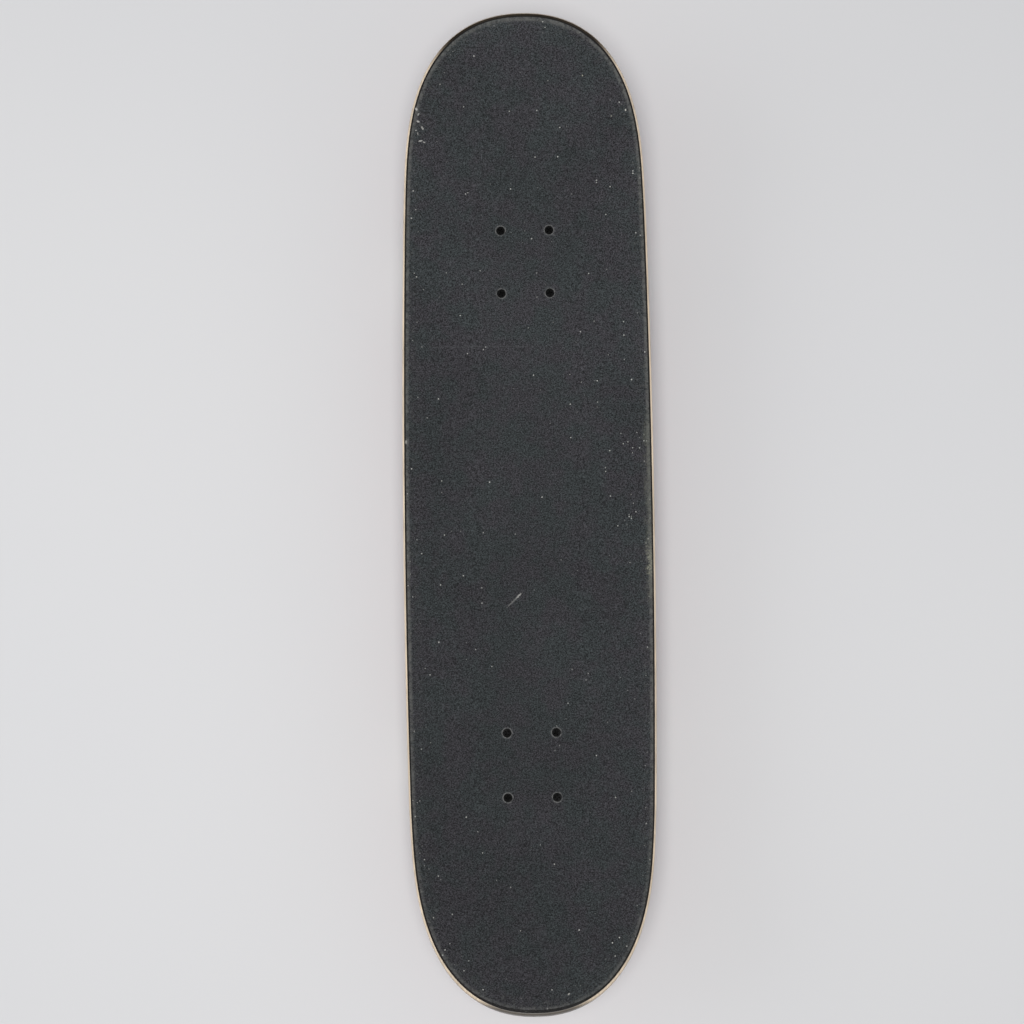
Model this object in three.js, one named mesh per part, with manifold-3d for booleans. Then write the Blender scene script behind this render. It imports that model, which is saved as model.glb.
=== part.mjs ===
// A street skateboard: a seven-ply deck with grip tape, two kingpin trucks and four wheels on bearings.
// Millimetres. The board stands on its wheels: +Y is the nose, +X the right-hand side, +Z up.
// The origin is on the ground under the middle of the board.

import * as THREE from 'three';
import { mergeVertices } from 'three/addons/utils/BufferGeometryUtils.js';
import Module from 'manifold-3d';

const wasm = await Module();
wasm.setup();

// ---- Driving dimensions -------------------------------------------------------------------------

// Deck outline, seen from above
const deckWidth = 211.7;            // widest, at the middle of the board
const widthAtBolts = 207.8;         // at the middle of each bolt pattern
const innerBoltSpan = 372;          // between the two trucks' inner bolts
const noseLength = 172.2;           // from the outer bolts to the nose tip
const tailLength = 171;           // from the outer bolts to the tail tip
const noseRound = { reach: 190, fullness: 3.9, power: 2.2 };
const tailRound = { reach: 200, fullness: 3.55, power: 2.12 };
const tipFlat = 13;                 // half the straight bit at each tip

// Deck section
const deckThickness = 11;
const edgeChamfer = 1.6;
const concaveRise = 8.5;            // how far the side edges stand above the middle
const flatHalfWidth = 31.5;         // half the flat strip under the bolts
const kickRadius = 100;
const kickStart = 12;               // from the outer bolts to the start of the bend
const noseKick = 21;                // degrees
const tailKick = 20;                // degrees

// Grip tape
const gripThickness = 0.9;
const glueLine = 0.1;

// Deck bolts and nuts, on the standard four-hole pattern
const boltAlong = 53.98;
const boltAcross = 41.28;
const boltDiameter = 4.8;
const boltLength = 25.4;
const boltHeadDiameter = 8.8;
const boltHeadRim = 0.5;
const boltHeadCone = 2.2;
const crossSlotWidth = 1.1;
const crossSlotLength = 5;
const crossSlotDepth = 1.6;
const deckNutFlats = 9.5;
const deckNutHeight = 5.2;

// Truck: places are [outward, up] from the middle of the baseplate's top face
const truckHeight = 53;             // deck underside to axle centre
const axlePlace = 0;                // outward from the middle of the bolt pattern
const pivotPlace = [26, -11];
const ringPlace = [-26, -33];
const kingpinLean = 22;             // degrees from upright, foot towards the middle of the board

// Baseplate
const plateWidth = 57;
const plateInner = 39;              // bolt pattern centre to the inner end
const plateOuter = 43;              // bolt pattern centre to the outer end
const plateThickness = 6;
const plateCorner = 8;
const kingpinBossRadius = 13.4;
const pivotBossRadius = 12.4;
const pivotMouth = 5;               // pivot centre to the boss's open face
const plateRibWidth = 12;

// Kingpin and what is stacked on it, measured along the pin from the middle of the hanger's ring
const kingpinDiameter = 9.5;
const ringHalf = 4.5;
const bushingSeatDepth = 1.5;
const boardBushingHeight = 14.4;
const roadBushingHeight = 10.7;
const bushingRadius = 12;
const bushingConeRadius = 8.6;
const bushingEdge = 1.6;
const boardWasherRadius = 12.8;
const roadWasherRadius = 10.6;
const washerThickness = 1.6;
const kingpinNutFlats = 14.3;
const kingpinNutHeight = 7.3;
const kingpinTip = 1.9;             // thread left showing past the nut
const kingpinHeadFlats = 12.7;
const kingpinHeadHeight = 5.5;
const seatWall = 6.3;               // metal between the bushing seat and the kingpin's head

// Hanger, axle and pivot
const hangerWidth = 138;
const beamRadius = 9.5;
const beamMiddleRadius = 10.6;
const beamEndRadius = 7.4;
const ringRadius = 17;
const ringBore = 8;
const yokeHalfWidth = 40;           // where the yoke meets the beam
const armHalfWidth = 22;            // where the pivot arm meets the beam
const armDepth = 17;
const pivotBallRadius = 6.2;
const pivotNeckRadius = 5.3;
const pivotCupWall = 1.8;
const armClear = 2.5;               // from the pivot boss's mouth to where the arm widens
const axleDiameter = 7.94;
const axleLength = 203;
const axleNutFlats = 12.7;
const axleNutHeight = 6;
const speedWasher = 1;              // room for the thin washers beside each bearing

// Wheels and bearings
const wheelDiameter = 52;
const wheelWidth = 31;
const treadWidth = 18;
const sideFaceRadius = 20;
const hubMouthRadius = 16;
const hubLip = 2;
const bearingDiameter = 22;
const bearingWidth = 7;
const spacerLength = 10;
const spacerRadius = 5.4;
const bearingShoulder = 1.6;        // how far the hub's middle stands in past the bearing seat

// Clearances
const fitGap = 0.3;                 // between pieces that touch on the real board
const mountGap = 0.1;               // between the baseplate and the deck
const pressGap = 0.1;               // bearing in its seat
const runningGap = 0.05;            // axle in bearing, spacer and nut
const threadGap = 0.2;              // screw in its nut and its hole

// Roundness
const fineSides = 24;
const pinSides = 16;
const screwSides = 12;

// ---- Worked out from the driving dimensions -----------------------------------------------------

const axleHeight = wheelDiameter / 2;
const deckUnderside = axleHeight + truckHeight + mountGap;
const deckTop = deckUnderside + deckThickness;
const gripTop = deckTop + glueLine + gripThickness;
const patternCentre = innerBoltSpan / 2 + boltAlong / 2;
const outerBolts = innerBoltSpan / 2 + boltAlong;
const boardShift = (tailLength - noseLength) / 2;
const bearingBore = flatsAt(axleDiameter / 2 + runningGap, pinSides);
const cupRadius = pivotBallRadius + fitGap + pivotCupWall;
const wheelCentre = hangerWidth / 2 + speedWasher + bearingWidth + spacerLength / 2;

// Corner radius of a many-sided hole whose flats stand at a radius
function flatsAt(radius, sides) {
  return radius / Math.cos(Math.PI / sides);
}

const X = new THREE.Vector3(1, 0, 0);
const Y = new THREE.Vector3(0, 1, 0);
const Z = new THREE.Vector3(0, 0, 1);

// ---- Shape helpers ------------------------------------------------------------------------------

const radians = THREE.MathUtils.degToRad;

// Joins a geometry's shared corners and drops the triangles that this leaves without area
function weld(geometry) {
  const bare = geometry.clone();
  bare.deleteAttribute('normal');
  bare.deleteAttribute('uv');
  const joined = mergeVertices(bare, 1e-4);
  const corners = joined.index.array;
  const kept = [];
  for (let i = 0; i < corners.length; i += 3) {
    const [a, b, c] = [corners[i], corners[i + 1], corners[i + 2]];
    if (a !== b && b !== c && c !== a) kept.push(a, b, c);
  }
  joined.setIndex(kept);
  return joined;
}

function toSolid(geometry) {
  const welded = weld(geometry);
  return new wasm.Manifold(new wasm.Mesh({
    numProp: 3,
    vertProperties: new Float32Array(welded.attributes.position.array),
    triVerts: new Uint32Array(welded.index.array),
  }));
}

function toGeometry(solid) {
  const mesh = solid.getMesh();
  const geometry = new THREE.BufferGeometry();
  geometry.setAttribute('position', new THREE.BufferAttribute(mesh.vertProperties, 3));
  geometry.setIndex(new THREE.BufferAttribute(mesh.triVerts, 1));
  return geometry;
}

function joinAll(geometries) {
  return geometries.map(toSolid).reduce((whole, piece) => whole.add(piece));
}

function cutAll(solid, geometries) {
  return geometries.map(toSolid).reduce((whole, cutter) => whole.subtract(cutter), solid);
}

// Turned shape from [radius, height] points, upright about the Y axis
function turned(profile, sides) {
  return new THREE.LatheGeometry(profile.map(([r, h]) => new THREE.Vector2(r, h)), sides);
}

// Ring with a square section between two radii and two heights
function ring(inner, outer, low, high, sides) {
  return turned([[inner, low], [outer, low], [outer, high], [inner, high], [inner, low]], sides);
}

function rod(radius, low, high, sides) {
  return turned([[0, low], [radius, low], [radius, high], [0, high]], sides);
}

// Moves a shape that stands on the Y axis to stand at a point along a direction
function stand(geometry, point, direction) {
  const turn = new THREE.Quaternion().setFromUnitVectors(Y, direction);
  return geometry.clone().applyQuaternion(turn).translate(point.x, point.y, point.z);
}

// Outline from [x, y] points
function outline(points) {
  return new THREE.Shape(points.map(([x, y]) => new THREE.Vector2(x, y)));
}

function extruded(shape, low, high, curveSegments = 6) {
  const settings = { depth: high - low, bevelEnabled: false, curveSegments };
  return new THREE.ExtrudeGeometry(shape, settings).translate(0, 0, low);
}

// Turn that lays an outline's own two directions along two given ones
function basisOf(across, up) {
  return new THREE.Matrix4().makeBasis(across, up, new THREE.Vector3().crossVectors(across, up));
}

// Side profile of [outward, up] points, as wide as given, centred on the truck's middle plane
function sideSlab(points, width) {
  return extruded(outline(points), -width / 2, width / 2).applyMatrix4(basisOf(Y, Z));
}

// Hexagon nut between two heights on the Y axis, with a round hole
function nut(flats, holeRadius, low, high) {
  const corner = flatsAt(flats / 2, 6);
  const turns = [0, 1, 2, 3, 4, 5].map((i) => i * Math.PI / 3);
  const shape = outline(turns.map((turn) => [corner * Math.cos(turn), corner * Math.sin(turn)]));
  const hole = new THREE.Path();
  hole.absarc(0, 0, holeRadius, 0, 2 * Math.PI, true);
  shape.holes.push(hole);
  return extruded(shape, low, high, pinSides / 2).rotateX(-Math.PI / 2);
}

// ---- Deck and grip tape -------------------------------------------------------------------------

// Half the deck's width at a distance from the middle, on the nose side or the tail side
function halfWidth(distance, length, round) {
  const taper = (deckWidth - widthAtBolts) / 2 * (distance / patternCentre) ** 2;
  const nearness = Math.min(1, Math.max(0, 1 - (length - distance) / round.reach));
  return (deckWidth / 2 - taper) * (1 - nearness ** round.fullness) ** (1 / round.power);
}

// The two ends of the board: +1 is the nose, -1 the tail
const ends = {
  1: { length: outerBolts + noseLength, round: noseRound, kick: radians(noseKick) },
  '-1': { length: outerBolts + tailLength, round: tailRound, kick: radians(tailKick) },
};

// Stations along one end, from the middle out: few where the sides run straight, close at the tip
function stations(end) {
  const bend = outerBolts + kickStart;
  const bendLength = kickRadius * Math.sin(end.kick);
  const straight = [0.3, 0.6, 0.85].map((share) => share * bend);
  const curve = [0, 1, 2].map((i) => bend + bendLength * i / 2);
  const left = end.length - bend - bendLength;
  const tip = [1, 2, 3, 4, 5, 6, 7].map((i) => bend + bendLength + left * Math.sin(i / 7 * Math.PI / 2));
  return [...straight, ...curve, ...tip];
}

// A point of the board: across, along, and a depth below the top face, all before it is bent
function bentPoint(across, along, depth) {
  const end = ends[along < 0 ? -1 : 1];
  const past = Math.max(0, Math.abs(along) - outerBolts - kickStart);
  const bendLength = kickRadius * Math.sin(end.kick);
  const slope = past < bendLength ? Math.asin(past / kickRadius) : end.kick;
  const rise = kickRadius * (1 - Math.cos(slope)) + Math.max(0, past - bendLength) * Math.tan(end.kick);
  const outside = Math.max(0, Math.abs(across) - flatHalfWidth) / (deckWidth / 2 - flatHalfWidth);
  const off = concaveRise * outside ** 2 - depth;
  const side = Math.sign(along);
  return [across, along - side * Math.sin(slope) * off, deckTop + rise + Math.cos(slope) * off];
}

const columns = [-1, -0.88, -0.74, -0.58, -0.44, -0.3, 0.3, 0.44, 0.58, 0.74, 0.88, 1];
const rows = [...stations(ends[-1]).reverse().map((y) => -y), 0, ...stations(ends[1])];

// A sheet of the board between levels, each level a depth and a distance in from the deck's outline
function boardSheet(levels) {
  const box = new THREE.BoxGeometry(2, 2, 2, columns.length - 1, rows.length - 1, levels.length - 1);
  const place = box.attributes.position;
  for (let i = 0; i < place.count; i++) {
    const share = columns[Math.round((place.getX(i) + 1) / 2 * (columns.length - 1))];
    const row = rows[Math.round((place.getY(i) + 1) / 2 * (rows.length - 1))];
    const { depth, inset } = levels[Math.round((place.getZ(i) + 1) / 2 * (levels.length - 1))];
    const end = ends[row < 0 ? -1 : 1];
    const half = Math.max(tipFlat, halfWidth(Math.abs(row), end.length, end.round)) - inset;
    place.setXYZ(i, ...bentPoint(share * half, row * (1 - inset / end.length), depth));
  }
  return box;
}

const boltPlaces = (end) => [-1, 1].flatMap((side) => [-1, 1].map((step) => ({
  x: side * boltAcross / 2,
  y: end * patternCentre + step * boltAlong / 2,
})));

// Screw shape from its head's face at 0 down to its tip, grown by a gap where it is a cutter
function screwProfile(gap, above, tip) {
  const head = boltHeadDiameter / 2 + gap;
  const shank = boltDiameter / 2 + gap;
  const rim = boltHeadRim + gap / 2;
  return [[0, -tip], [shank, -tip], [shank, -rim - boltHeadCone], [head, -rim], [head, above], [0, above]];
}

function boltHoles() {
  return [1, -1].flatMap(boltPlaces).map(({ x, y }) => {
    const cutter = turned(screwProfile(threadGap, boltLength, boltLength), screwSides);
    return cutter.rotateX(Math.PI / 2).translate(x, y, gripTop);
  });
}

function deckGeometry() {
  const board = boardSheet([
    { depth: deckThickness, inset: edgeChamfer },
    { depth: deckThickness - edgeChamfer, inset: 0 },
    { depth: edgeChamfer, inset: 0 },
    { depth: 0, inset: edgeChamfer },
  ]);
  return toGeometry(cutAll(toSolid(board), boltHoles()));
}

// Swaps a box's two layers over and turns its faces round, so it stays closed and faces out
function turnedOver(sheet) {
  const corners = sheet.index.array;
  for (let i = 0; i < corners.length; i += 3) {
    [corners[i], corners[i + 1]] = [corners[i + 1], corners[i]];
  }
  return sheet;
}

// The sheet's levels run from the top down, so that its underside has the same facets as the deck's top
function gripGeometry() {
  const inset = edgeChamfer;
  const sheet = boardSheet([{ depth: -glueLine - gripThickness, inset }, { depth: -glueLine, inset }]);
  return toGeometry(cutAll(toSolid(turnedOver(sheet)), boltHoles()));
}

// ---- Deck bolts and nuts ------------------------------------------------------------------------

function boltGeometry() {
  const screw = toSolid(turned(screwProfile(0, 0, boltLength), screwSides));
  const slot = new THREE.BoxGeometry(crossSlotLength, 2 * crossSlotDepth, crossSlotWidth);
  return toGeometry(cutAll(screw, [slot, slot.clone().rotateY(Math.PI / 2)])).rotateX(Math.PI / 2);
}

function deckNutGeometry() {
  const top = deckUnderside - mountGap - plateThickness - mountGap;
  const hole = boltDiameter / 2 + threadGap;
  return nut(deckNutFlats, hole, top - deckNutHeight, top).rotateX(Math.PI / 2);
}

// ---- Truck, in its own frame: X across, Y outward, Z up, the baseplate's top face at 0 -----------

const axlePoint = new THREE.Vector3(0, axlePlace, -truckHeight);
const pivotPoint = new THREE.Vector3(0, ...pivotPlace);
const ringPoint = new THREE.Vector3(0, ...ringPlace);
const lean = radians(kingpinLean);
const pinUp = new THREE.Vector3(0, Math.sin(lean), Math.cos(lean));
const yokeOut = new THREE.Vector3(0, Math.cos(lean), -Math.sin(lean));
const armDown = axlePoint.clone().sub(pivotPoint).add(new THREE.Vector3(0, 0, beamRadius / 2)).normalize();
const armAcross = new THREE.Vector3().crossVectors(armDown, X);

// Heights along the kingpin, from the middle of the ring
const bushingSeat = ringHalf - bushingSeatDepth + fitGap;
const boardWasherLow = bushingSeat + boardBushingHeight + fitGap;
const boardWasherHigh = boardWasherLow + washerThickness;
const plateSeat = boardWasherHigh + fitGap;
const headLow = plateSeat + seatWall;
const roadWasherHigh = -bushingSeat - roadBushingHeight - fitGap;
const roadWasherLow = roadWasherHigh - washerThickness;
const nutHigh = roadWasherLow - fitGap;
const nutLow = nutHigh - kingpinNutHeight;
const pinTip = nutLow - kingpinTip;

// A point of the truck's middle plane: along the yoke from the ring, and up the kingpin
function ringPlane(out, up) {
  const point = ringPoint.clone().addScaledVector(yokeOut, out).addScaledVector(pinUp, up);
  return [point.y, point.z];
}

function plateOutline() {
  const [w, inner, outer, c] = [plateWidth / 2, -plateInner, plateOuter, plateCorner];
  const shape = new THREE.Shape();
  shape.moveTo(-w + c, inner).lineTo(w - c, inner).absarc(w - c, inner + c, c, -Math.PI / 2, 0);
  shape.lineTo(w, outer - c).absarc(w - c, outer - c, c, 0, Math.PI / 2);
  shape.lineTo(-w + c, outer).absarc(-w + c, outer - c, c, Math.PI / 2, Math.PI);
  shape.lineTo(-w, inner + c).absarc(-w + c, inner + c, c, Math.PI, 1.5 * Math.PI);
  return shape;
}

// Rod with a half ball at its lower end, which is centred on 0
function roundEnded(radius, high) {
  const steps = [0, 1, 2, 3].map((i) => i / 3 * Math.PI / 2);
  const ball = steps.map((turn) => [radius * Math.sin(turn), -radius * Math.cos(turn)]);
  return turned([...ball, [radius, high], [0, high]], pinSides);
}

// Shapes that stand along the kingpin, or along the pivot arm
const onKingpin = (geometry) => stand(geometry, ringPoint, pinUp);
const onPivot = (geometry) => stand(geometry, pivotPoint, armDown);

function baseplateGeometry() {
  const plate = extruded(plateOutline(), -plateThickness, 0, 2);
  const bossTop = headLow + plateThickness;
  const kingpinBoss = onKingpin(rod(kingpinBossRadius, plateSeat, bossTop, fineSides));
  const pivotBoss = onPivot(rod(pivotBossRadius, -pivotBossRadius, pivotMouth, fineSides));
  const rib = sideSlab([[plateOuter - plateCorner, 0], [plateCorner - plateInner, 0],
    ringPlane(kingpinBossRadius / 2, plateSeat + fitGap),
    [pivotPlace[0] - pivotMouth, pivotPlace[1] - fitGap]], plateRibWidth);
  const body = joinAll([plate, kingpinBoss, pivotBoss, rib]);
  const boltHole = rod(boltDiameter / 2 + threadGap, -plateWidth, plateWidth, screwSides);
  const bolts = boltPlaces(0).map(({ x, y }) => boltHole.clone().rotateX(Math.PI / 2).translate(x, y, 0));
  const aboveDeckFace = new THREE.BoxGeometry(4 * plateWidth, 4 * plateWidth, 2 * plateWidth)
    .translate(0, 0, plateWidth);
  const pinHole = onKingpin(rod(kingpinDiameter / 2 + fitGap, 0, 2 * bossTop, pinSides));
  const pocketRadius = flatsAt(kingpinHeadFlats / 2, 6) + fitGap;
  const headPocket = onKingpin(rod(pocketRadius, headLow - fitGap, 2 * bossTop, pinSides));
  const cupHole = onPivot(roundEnded(cupRadius + fitGap, 2 * pivotMouth));
  return toGeometry(cutAll(body, [...bolts, aboveDeckFace, pinHole, headPocket, cupHole]));
}

function pivotCupGeometry() {
  const mouth = pivotMouth - fitGap;
  const shell = toSolid(roundEnded(cupRadius, mouth));
  const inside = roundEnded(pivotBallRadius + fitGap, 2 * pivotMouth);
  return onPivot(toGeometry(cutAll(shell, [inside])));
}

function kingpinGeometry() {
  const head = nut(kingpinHeadFlats, kingpinDiameter / 4, headLow, headLow + kingpinHeadHeight);
  const shank = rod(kingpinDiameter / 2, pinTip, headLow + kingpinHeadHeight, pinSides);
  return onKingpin(toGeometry(joinAll([head, shank])));
}

function boardBushingGeometry() {
  const [r, low, high] = [bushingRadius, bushingSeat, bushingSeat + boardBushingHeight];
  const bore = kingpinDiameter / 2 + fitGap;
  return onKingpin(turned([[bore, low], [r - bushingEdge, low], [r, low + bushingEdge],
    [r, high - bushingEdge], [r - bushingEdge, high], [bore, high], [bore, low]], pinSides));
}

function roadBushingGeometry() {
  const [r, low, high] = [bushingRadius, -bushingSeat - roadBushingHeight, -bushingSeat];
  const bore = kingpinDiameter / 2 + fitGap;
  return onKingpin(turned([[bore, low], [bushingConeRadius, low], [r, high - 2 * bushingEdge],
    [r - bushingEdge, high], [bore, high], [bore, low]], pinSides));
}

function washerGeometry(radius, low, high) {
  return onKingpin(ring(kingpinDiameter / 2 + fitGap, radius, low, high, pinSides));
}

function kingpinNutGeometry() {
  const hole = kingpinDiameter / 2 + threadGap;
  return onKingpin(nut(kingpinNutFlats, hole, nutLow, nutHigh));
}

// The hanger's beam, turned about the axle's line, with its grinding surface between two shoulders
function beamGeometry() {
  const half = hangerWidth / 2;
  const shoulder = half - beamRadius / 2;
  const side = [[beamRadius, yokeHalfWidth], [beamRadius, shoulder], [beamEndRadius, half], [0, half]];
  const otherSide = side.map(([r, h]) => [r, -h]).reverse();
  return stand(turned([...otherSide, [beamMiddleRadius, 0], ...side], pinSides), axlePoint, X);
}

// The yoke: a flat web from the beam that narrows to the ring around the kingpin
function yokeGeometry() {
  const reach = (axlePlace - ringPlace[0]) / Math.cos(lean);
  const wing = yokeHalfWidth;
  const shape = new THREE.Shape();
  shape.moveTo(wing, reach).lineTo(-wing, reach).lineTo(-wing, reach - beamRadius / 2);
  shape.absarc(0, 0, ringRadius, Math.PI, 2 * Math.PI);
  shape.lineTo(wing, reach - beamRadius / 2);
  const web = extruded(shape, -ringHalf, ringHalf, 9).applyMatrix4(basisOf(X, yokeOut));
  return web.translate(ringPoint.x, ringPoint.y, ringPoint.z);
}

// Gusset under the yoke, which ties the ring to the beam
function gussetGeometry() {
  const belowBeam = [axlePlace - beamRadius / 2, -truckHeight - beamRadius * 0.8];
  const underRing = ringPlane(ringRadius - ringHalf, -ringHalf);
  return sideSlab([[axlePlace, -truckHeight], ringPlane(ringRadius, 0), underRing, belowBeam], 2 * ringHalf);
}

// The pivot arm narrows from the beam to the neck in both views, so it is the overlap of two slabs
function armGeometry() {
  const reach = pivotPoint.distanceTo(axlePoint);
  const neck = pivotMouth + armClear;
  const deep = armDepth / 2;
  const side = outline([[-pivotNeckRadius, neck], [pivotNeckRadius, neck], [deep, reach], [-deep, reach]]);
  const front = outline([[-pivotNeckRadius, neck], [pivotNeckRadius, neck], [armHalfWidth, reach],
    [-armHalfWidth, reach]]);
  const sideView = extruded(side, -armHalfWidth, armHalfWidth).applyMatrix4(basisOf(armAcross, armDown));
  const frontView = extruded(front, -armDepth, armDepth).applyMatrix4(basisOf(X, armDown));
  const arm = toGeometry(toSolid(sideView).intersect(toSolid(frontView)));
  return arm.translate(pivotPoint.x, pivotPoint.y, pivotPoint.z);
}

function hangerGeometry() {
  const nose = stand(roundEnded(pivotBallRadius, fitGap), pivotPoint, armDown);
  const neck = stand(rod(pivotNeckRadius, 0, pivotMouth + 2 * armClear, pinSides), pivotPoint, armDown);
  const body = joinAll([beamGeometry(), yokeGeometry(), gussetGeometry(), armGeometry(), nose, neck]);
  const axleHole = stand(rod(axleDiameter / 2 + fitGap, -hangerWidth, hangerWidth, pinSides), axlePoint, X);
  const seat = ringHalf - bushingSeatDepth;
  const seatRadius = bushingRadius + fitGap;
  const ringCuts = [
    rod(ringBore, -ringRadius, ringRadius, fineSides),
    rod(seatRadius, seat, ringHalf + fitGap, fineSides),
    rod(seatRadius, -ringHalf - fitGap, -seat, fineSides),
  ].map((cutter) => stand(cutter, ringPoint, pinUp));
  return toGeometry(cutAll(body, [axleHole, ...ringCuts]));
}

function axleGeometry() {
  return stand(rod(axleDiameter / 2, -axleLength / 2, axleLength / 2, pinSides), axlePoint, X);
}

// side is +1 for the right-hand nut, -1 for the left
function axleNutGeometry(side) {
  const inner = wheelCentre + spacerLength / 2 + bearingWidth + speedWasher + fitGap;
  const low = side > 0 ? inner : -inner - axleNutHeight;
  return stand(nut(axleNutFlats, bearingBore, low, low + axleNutHeight), axlePoint, X);
}

// ---- Wheel, in its own frame: the axle is the X axis --------------------------------------------

function wheelGeometry() {
  const bore = flatsAt(bearingDiameter / 2 + pressGap, fineSides);
  const hub = spacerLength / 2 + bearingWidth;
  const shoulder = spacerLength / 2 - fitGap;
  const face = wheelWidth / 2;
  const half = [[bore - bearingShoulder, shoulder], [bore, shoulder], [bore, hub], [bore + hubLip, hub],
    [hubMouthRadius, face], [sideFaceRadius, face], [wheelDiameter / 2, treadWidth / 2]];
  const lower = half.map(([r, h]) => [r, -h]);
  const loop = [...lower, ...half.reverse(), lower[0]];
  return stand(turned(loop, fineSides), new THREE.Vector3(), X);
}

function bearingGeometry(middle) {
  const low = middle - bearingWidth / 2 + fitGap / 2;
  const high = middle + bearingWidth / 2 - fitGap / 2;
  return stand(ring(bearingBore, bearingDiameter / 2, low, high, pinSides), new THREE.Vector3(), X);
}

function spacerGeometry() {
  const half = spacerLength / 2 - fitGap / 2;
  return stand(ring(bearingBore, spacerRadius, -half, half, pinSides), new THREE.Vector3(), X);
}

// ---- Finishes -----------------------------------------------------------------------------------

const finishes = {
  grip: { color: 0x3a3c3e, roughness: 0.95, metalness: 0 },
  wood: { color: 0xb98a5a, roughness: 0.5, metalness: 0 },
  blackSteel: { color: 0x17181a, roughness: 0.45, metalness: 0.8 },
  castAluminium: { color: 0xb4b6b8, roughness: 0.38, metalness: 1 },
  zincSteel: { color: 0xc2c4c6, roughness: 0.3, metalness: 1 },
  bushingUrethane: { color: 0x9c2f22, roughness: 0.45, metalness: 0 },
  cupUrethane: { color: 0x1c1c1e, roughness: 0.6, metalness: 0 },
  wheelUrethane: { color: 0xe8e3d6, roughness: 0.5, metalness: 0 },
};

function part(name, geometry, finish) {
  geometry.computeVertexNormals();
  const mesh = new THREE.Mesh(geometry, new THREE.MeshStandardMaterial(finishes[finish]));
  mesh.name = name;
  return mesh;
}

// ---- The board ----------------------------------------------------------------------------------

const board = new THREE.Group();
board.position.y = boardShift;
board.add(part('deck', deckGeometry(), 'wood'));
board.add(part('grip_tape', gripGeometry(), 'grip'));

for (const [where, end] of [['front', 1], ['rear', -1]]) {
  boltPlaces(end).forEach(({ x, y }, i) => {
    const bolt = part(`${where}_deck_bolt_${i + 1}`, boltGeometry(), 'blackSteel');
    bolt.position.set(x, y, gripTop);
    const lock = part(`${where}_deck_nut_${i + 1}`, deckNutGeometry(), 'blackSteel');
    lock.position.set(x, y, 0);
    board.add(bolt, lock);
  });

  // The rear truck is the same truck turned to face the tail
  const truck = new THREE.Group();
  truck.position.set(0, end * patternCentre, deckUnderside - mountGap);
  truck.rotation.z = end > 0 ? 0 : Math.PI;
  truck.add(part(`${where}_baseplate`, baseplateGeometry(), 'castAluminium'));
  truck.add(part(`${where}_pivot_cup`, pivotCupGeometry(), 'cupUrethane'));
  truck.add(part(`${where}_kingpin`, kingpinGeometry(), 'zincSteel'));
  truck.add(part(`${where}_board_side_bushing`, boardBushingGeometry(), 'bushingUrethane'));
  truck.add(part(`${where}_road_side_bushing`, roadBushingGeometry(), 'bushingUrethane'));
  const boardWasher = washerGeometry(boardWasherRadius, boardWasherLow, boardWasherHigh);
  truck.add(part(`${where}_board_side_washer`, boardWasher, 'zincSteel'));
  const roadWasher = washerGeometry(roadWasherRadius, roadWasherLow, roadWasherHigh);
  truck.add(part(`${where}_road_side_washer`, roadWasher, 'zincSteel'));
  truck.add(part(`${where}_kingpin_nut`, kingpinNutGeometry(), 'zincSteel'));
  truck.add(part(`${where}_hanger`, hangerGeometry(), 'castAluminium'));
  truck.add(part(`${where}_axle`, axleGeometry(), 'zincSteel'));
  board.add(truck);

  // Left and right are as the rider stands, so they swap sides inside the turned rear truck
  for (const [hand, side] of [['left', -1], ['right', 1]]) {
    const inTruck = side * end;
    truck.add(part(`${where}_${hand}_axle_nut`, axleNutGeometry(inTruck), 'zincSteel'));
    const wheel = new THREE.Group();
    wheel.position.copy(axlePoint);
    wheel.position.x = inTruck * wheelCentre;
    const outer = inTruck * (spacerLength + bearingWidth) / 2;
    wheel.add(part(`${where}_${hand}_wheel`, wheelGeometry(), 'wheelUrethane'));
    wheel.add(part(`${where}_${hand}_inner_bearing`, bearingGeometry(-outer), 'zincSteel'));
    wheel.add(part(`${where}_${hand}_outer_bearing`, bearingGeometry(outer), 'zincSteel'));
    wheel.add(part(`${where}_${hand}_spacer`, spacerGeometry(), 'zincSteel'));
    truck.add(wheel);
  }
}

export default board;
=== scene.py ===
import math
from functools import reduce

import bmesh
import bpy
from bpy.props import FloatProperty, FloatVectorProperty, PointerProperty
from mathutils import Matrix, Vector
from mathutils.kdtree import KDTree


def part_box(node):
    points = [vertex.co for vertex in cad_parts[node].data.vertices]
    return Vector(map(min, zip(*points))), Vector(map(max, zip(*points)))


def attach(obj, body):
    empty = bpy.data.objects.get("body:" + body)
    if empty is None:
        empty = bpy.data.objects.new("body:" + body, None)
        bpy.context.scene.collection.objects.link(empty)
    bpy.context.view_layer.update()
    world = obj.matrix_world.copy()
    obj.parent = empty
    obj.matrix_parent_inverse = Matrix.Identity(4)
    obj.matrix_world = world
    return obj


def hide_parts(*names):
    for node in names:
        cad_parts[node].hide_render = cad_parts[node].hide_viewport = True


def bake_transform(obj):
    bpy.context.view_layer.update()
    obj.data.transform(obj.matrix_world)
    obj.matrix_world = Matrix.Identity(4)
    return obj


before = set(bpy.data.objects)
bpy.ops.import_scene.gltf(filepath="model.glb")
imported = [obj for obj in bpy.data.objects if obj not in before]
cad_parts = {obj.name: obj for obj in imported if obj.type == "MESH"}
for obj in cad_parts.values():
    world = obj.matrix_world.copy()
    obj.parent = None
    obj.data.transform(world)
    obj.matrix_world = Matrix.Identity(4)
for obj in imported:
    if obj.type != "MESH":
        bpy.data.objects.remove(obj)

bl_info = {
    "name": "Street skateboard",
    "version": (1, 0, 0),
    "blender": (4, 5, 0),
    "location": "3D View > Sidebar > Skateboard",
    "description": "Builds the finished pieces of a street skateboard on its packed frame",
    "category": "Object",
}

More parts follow.
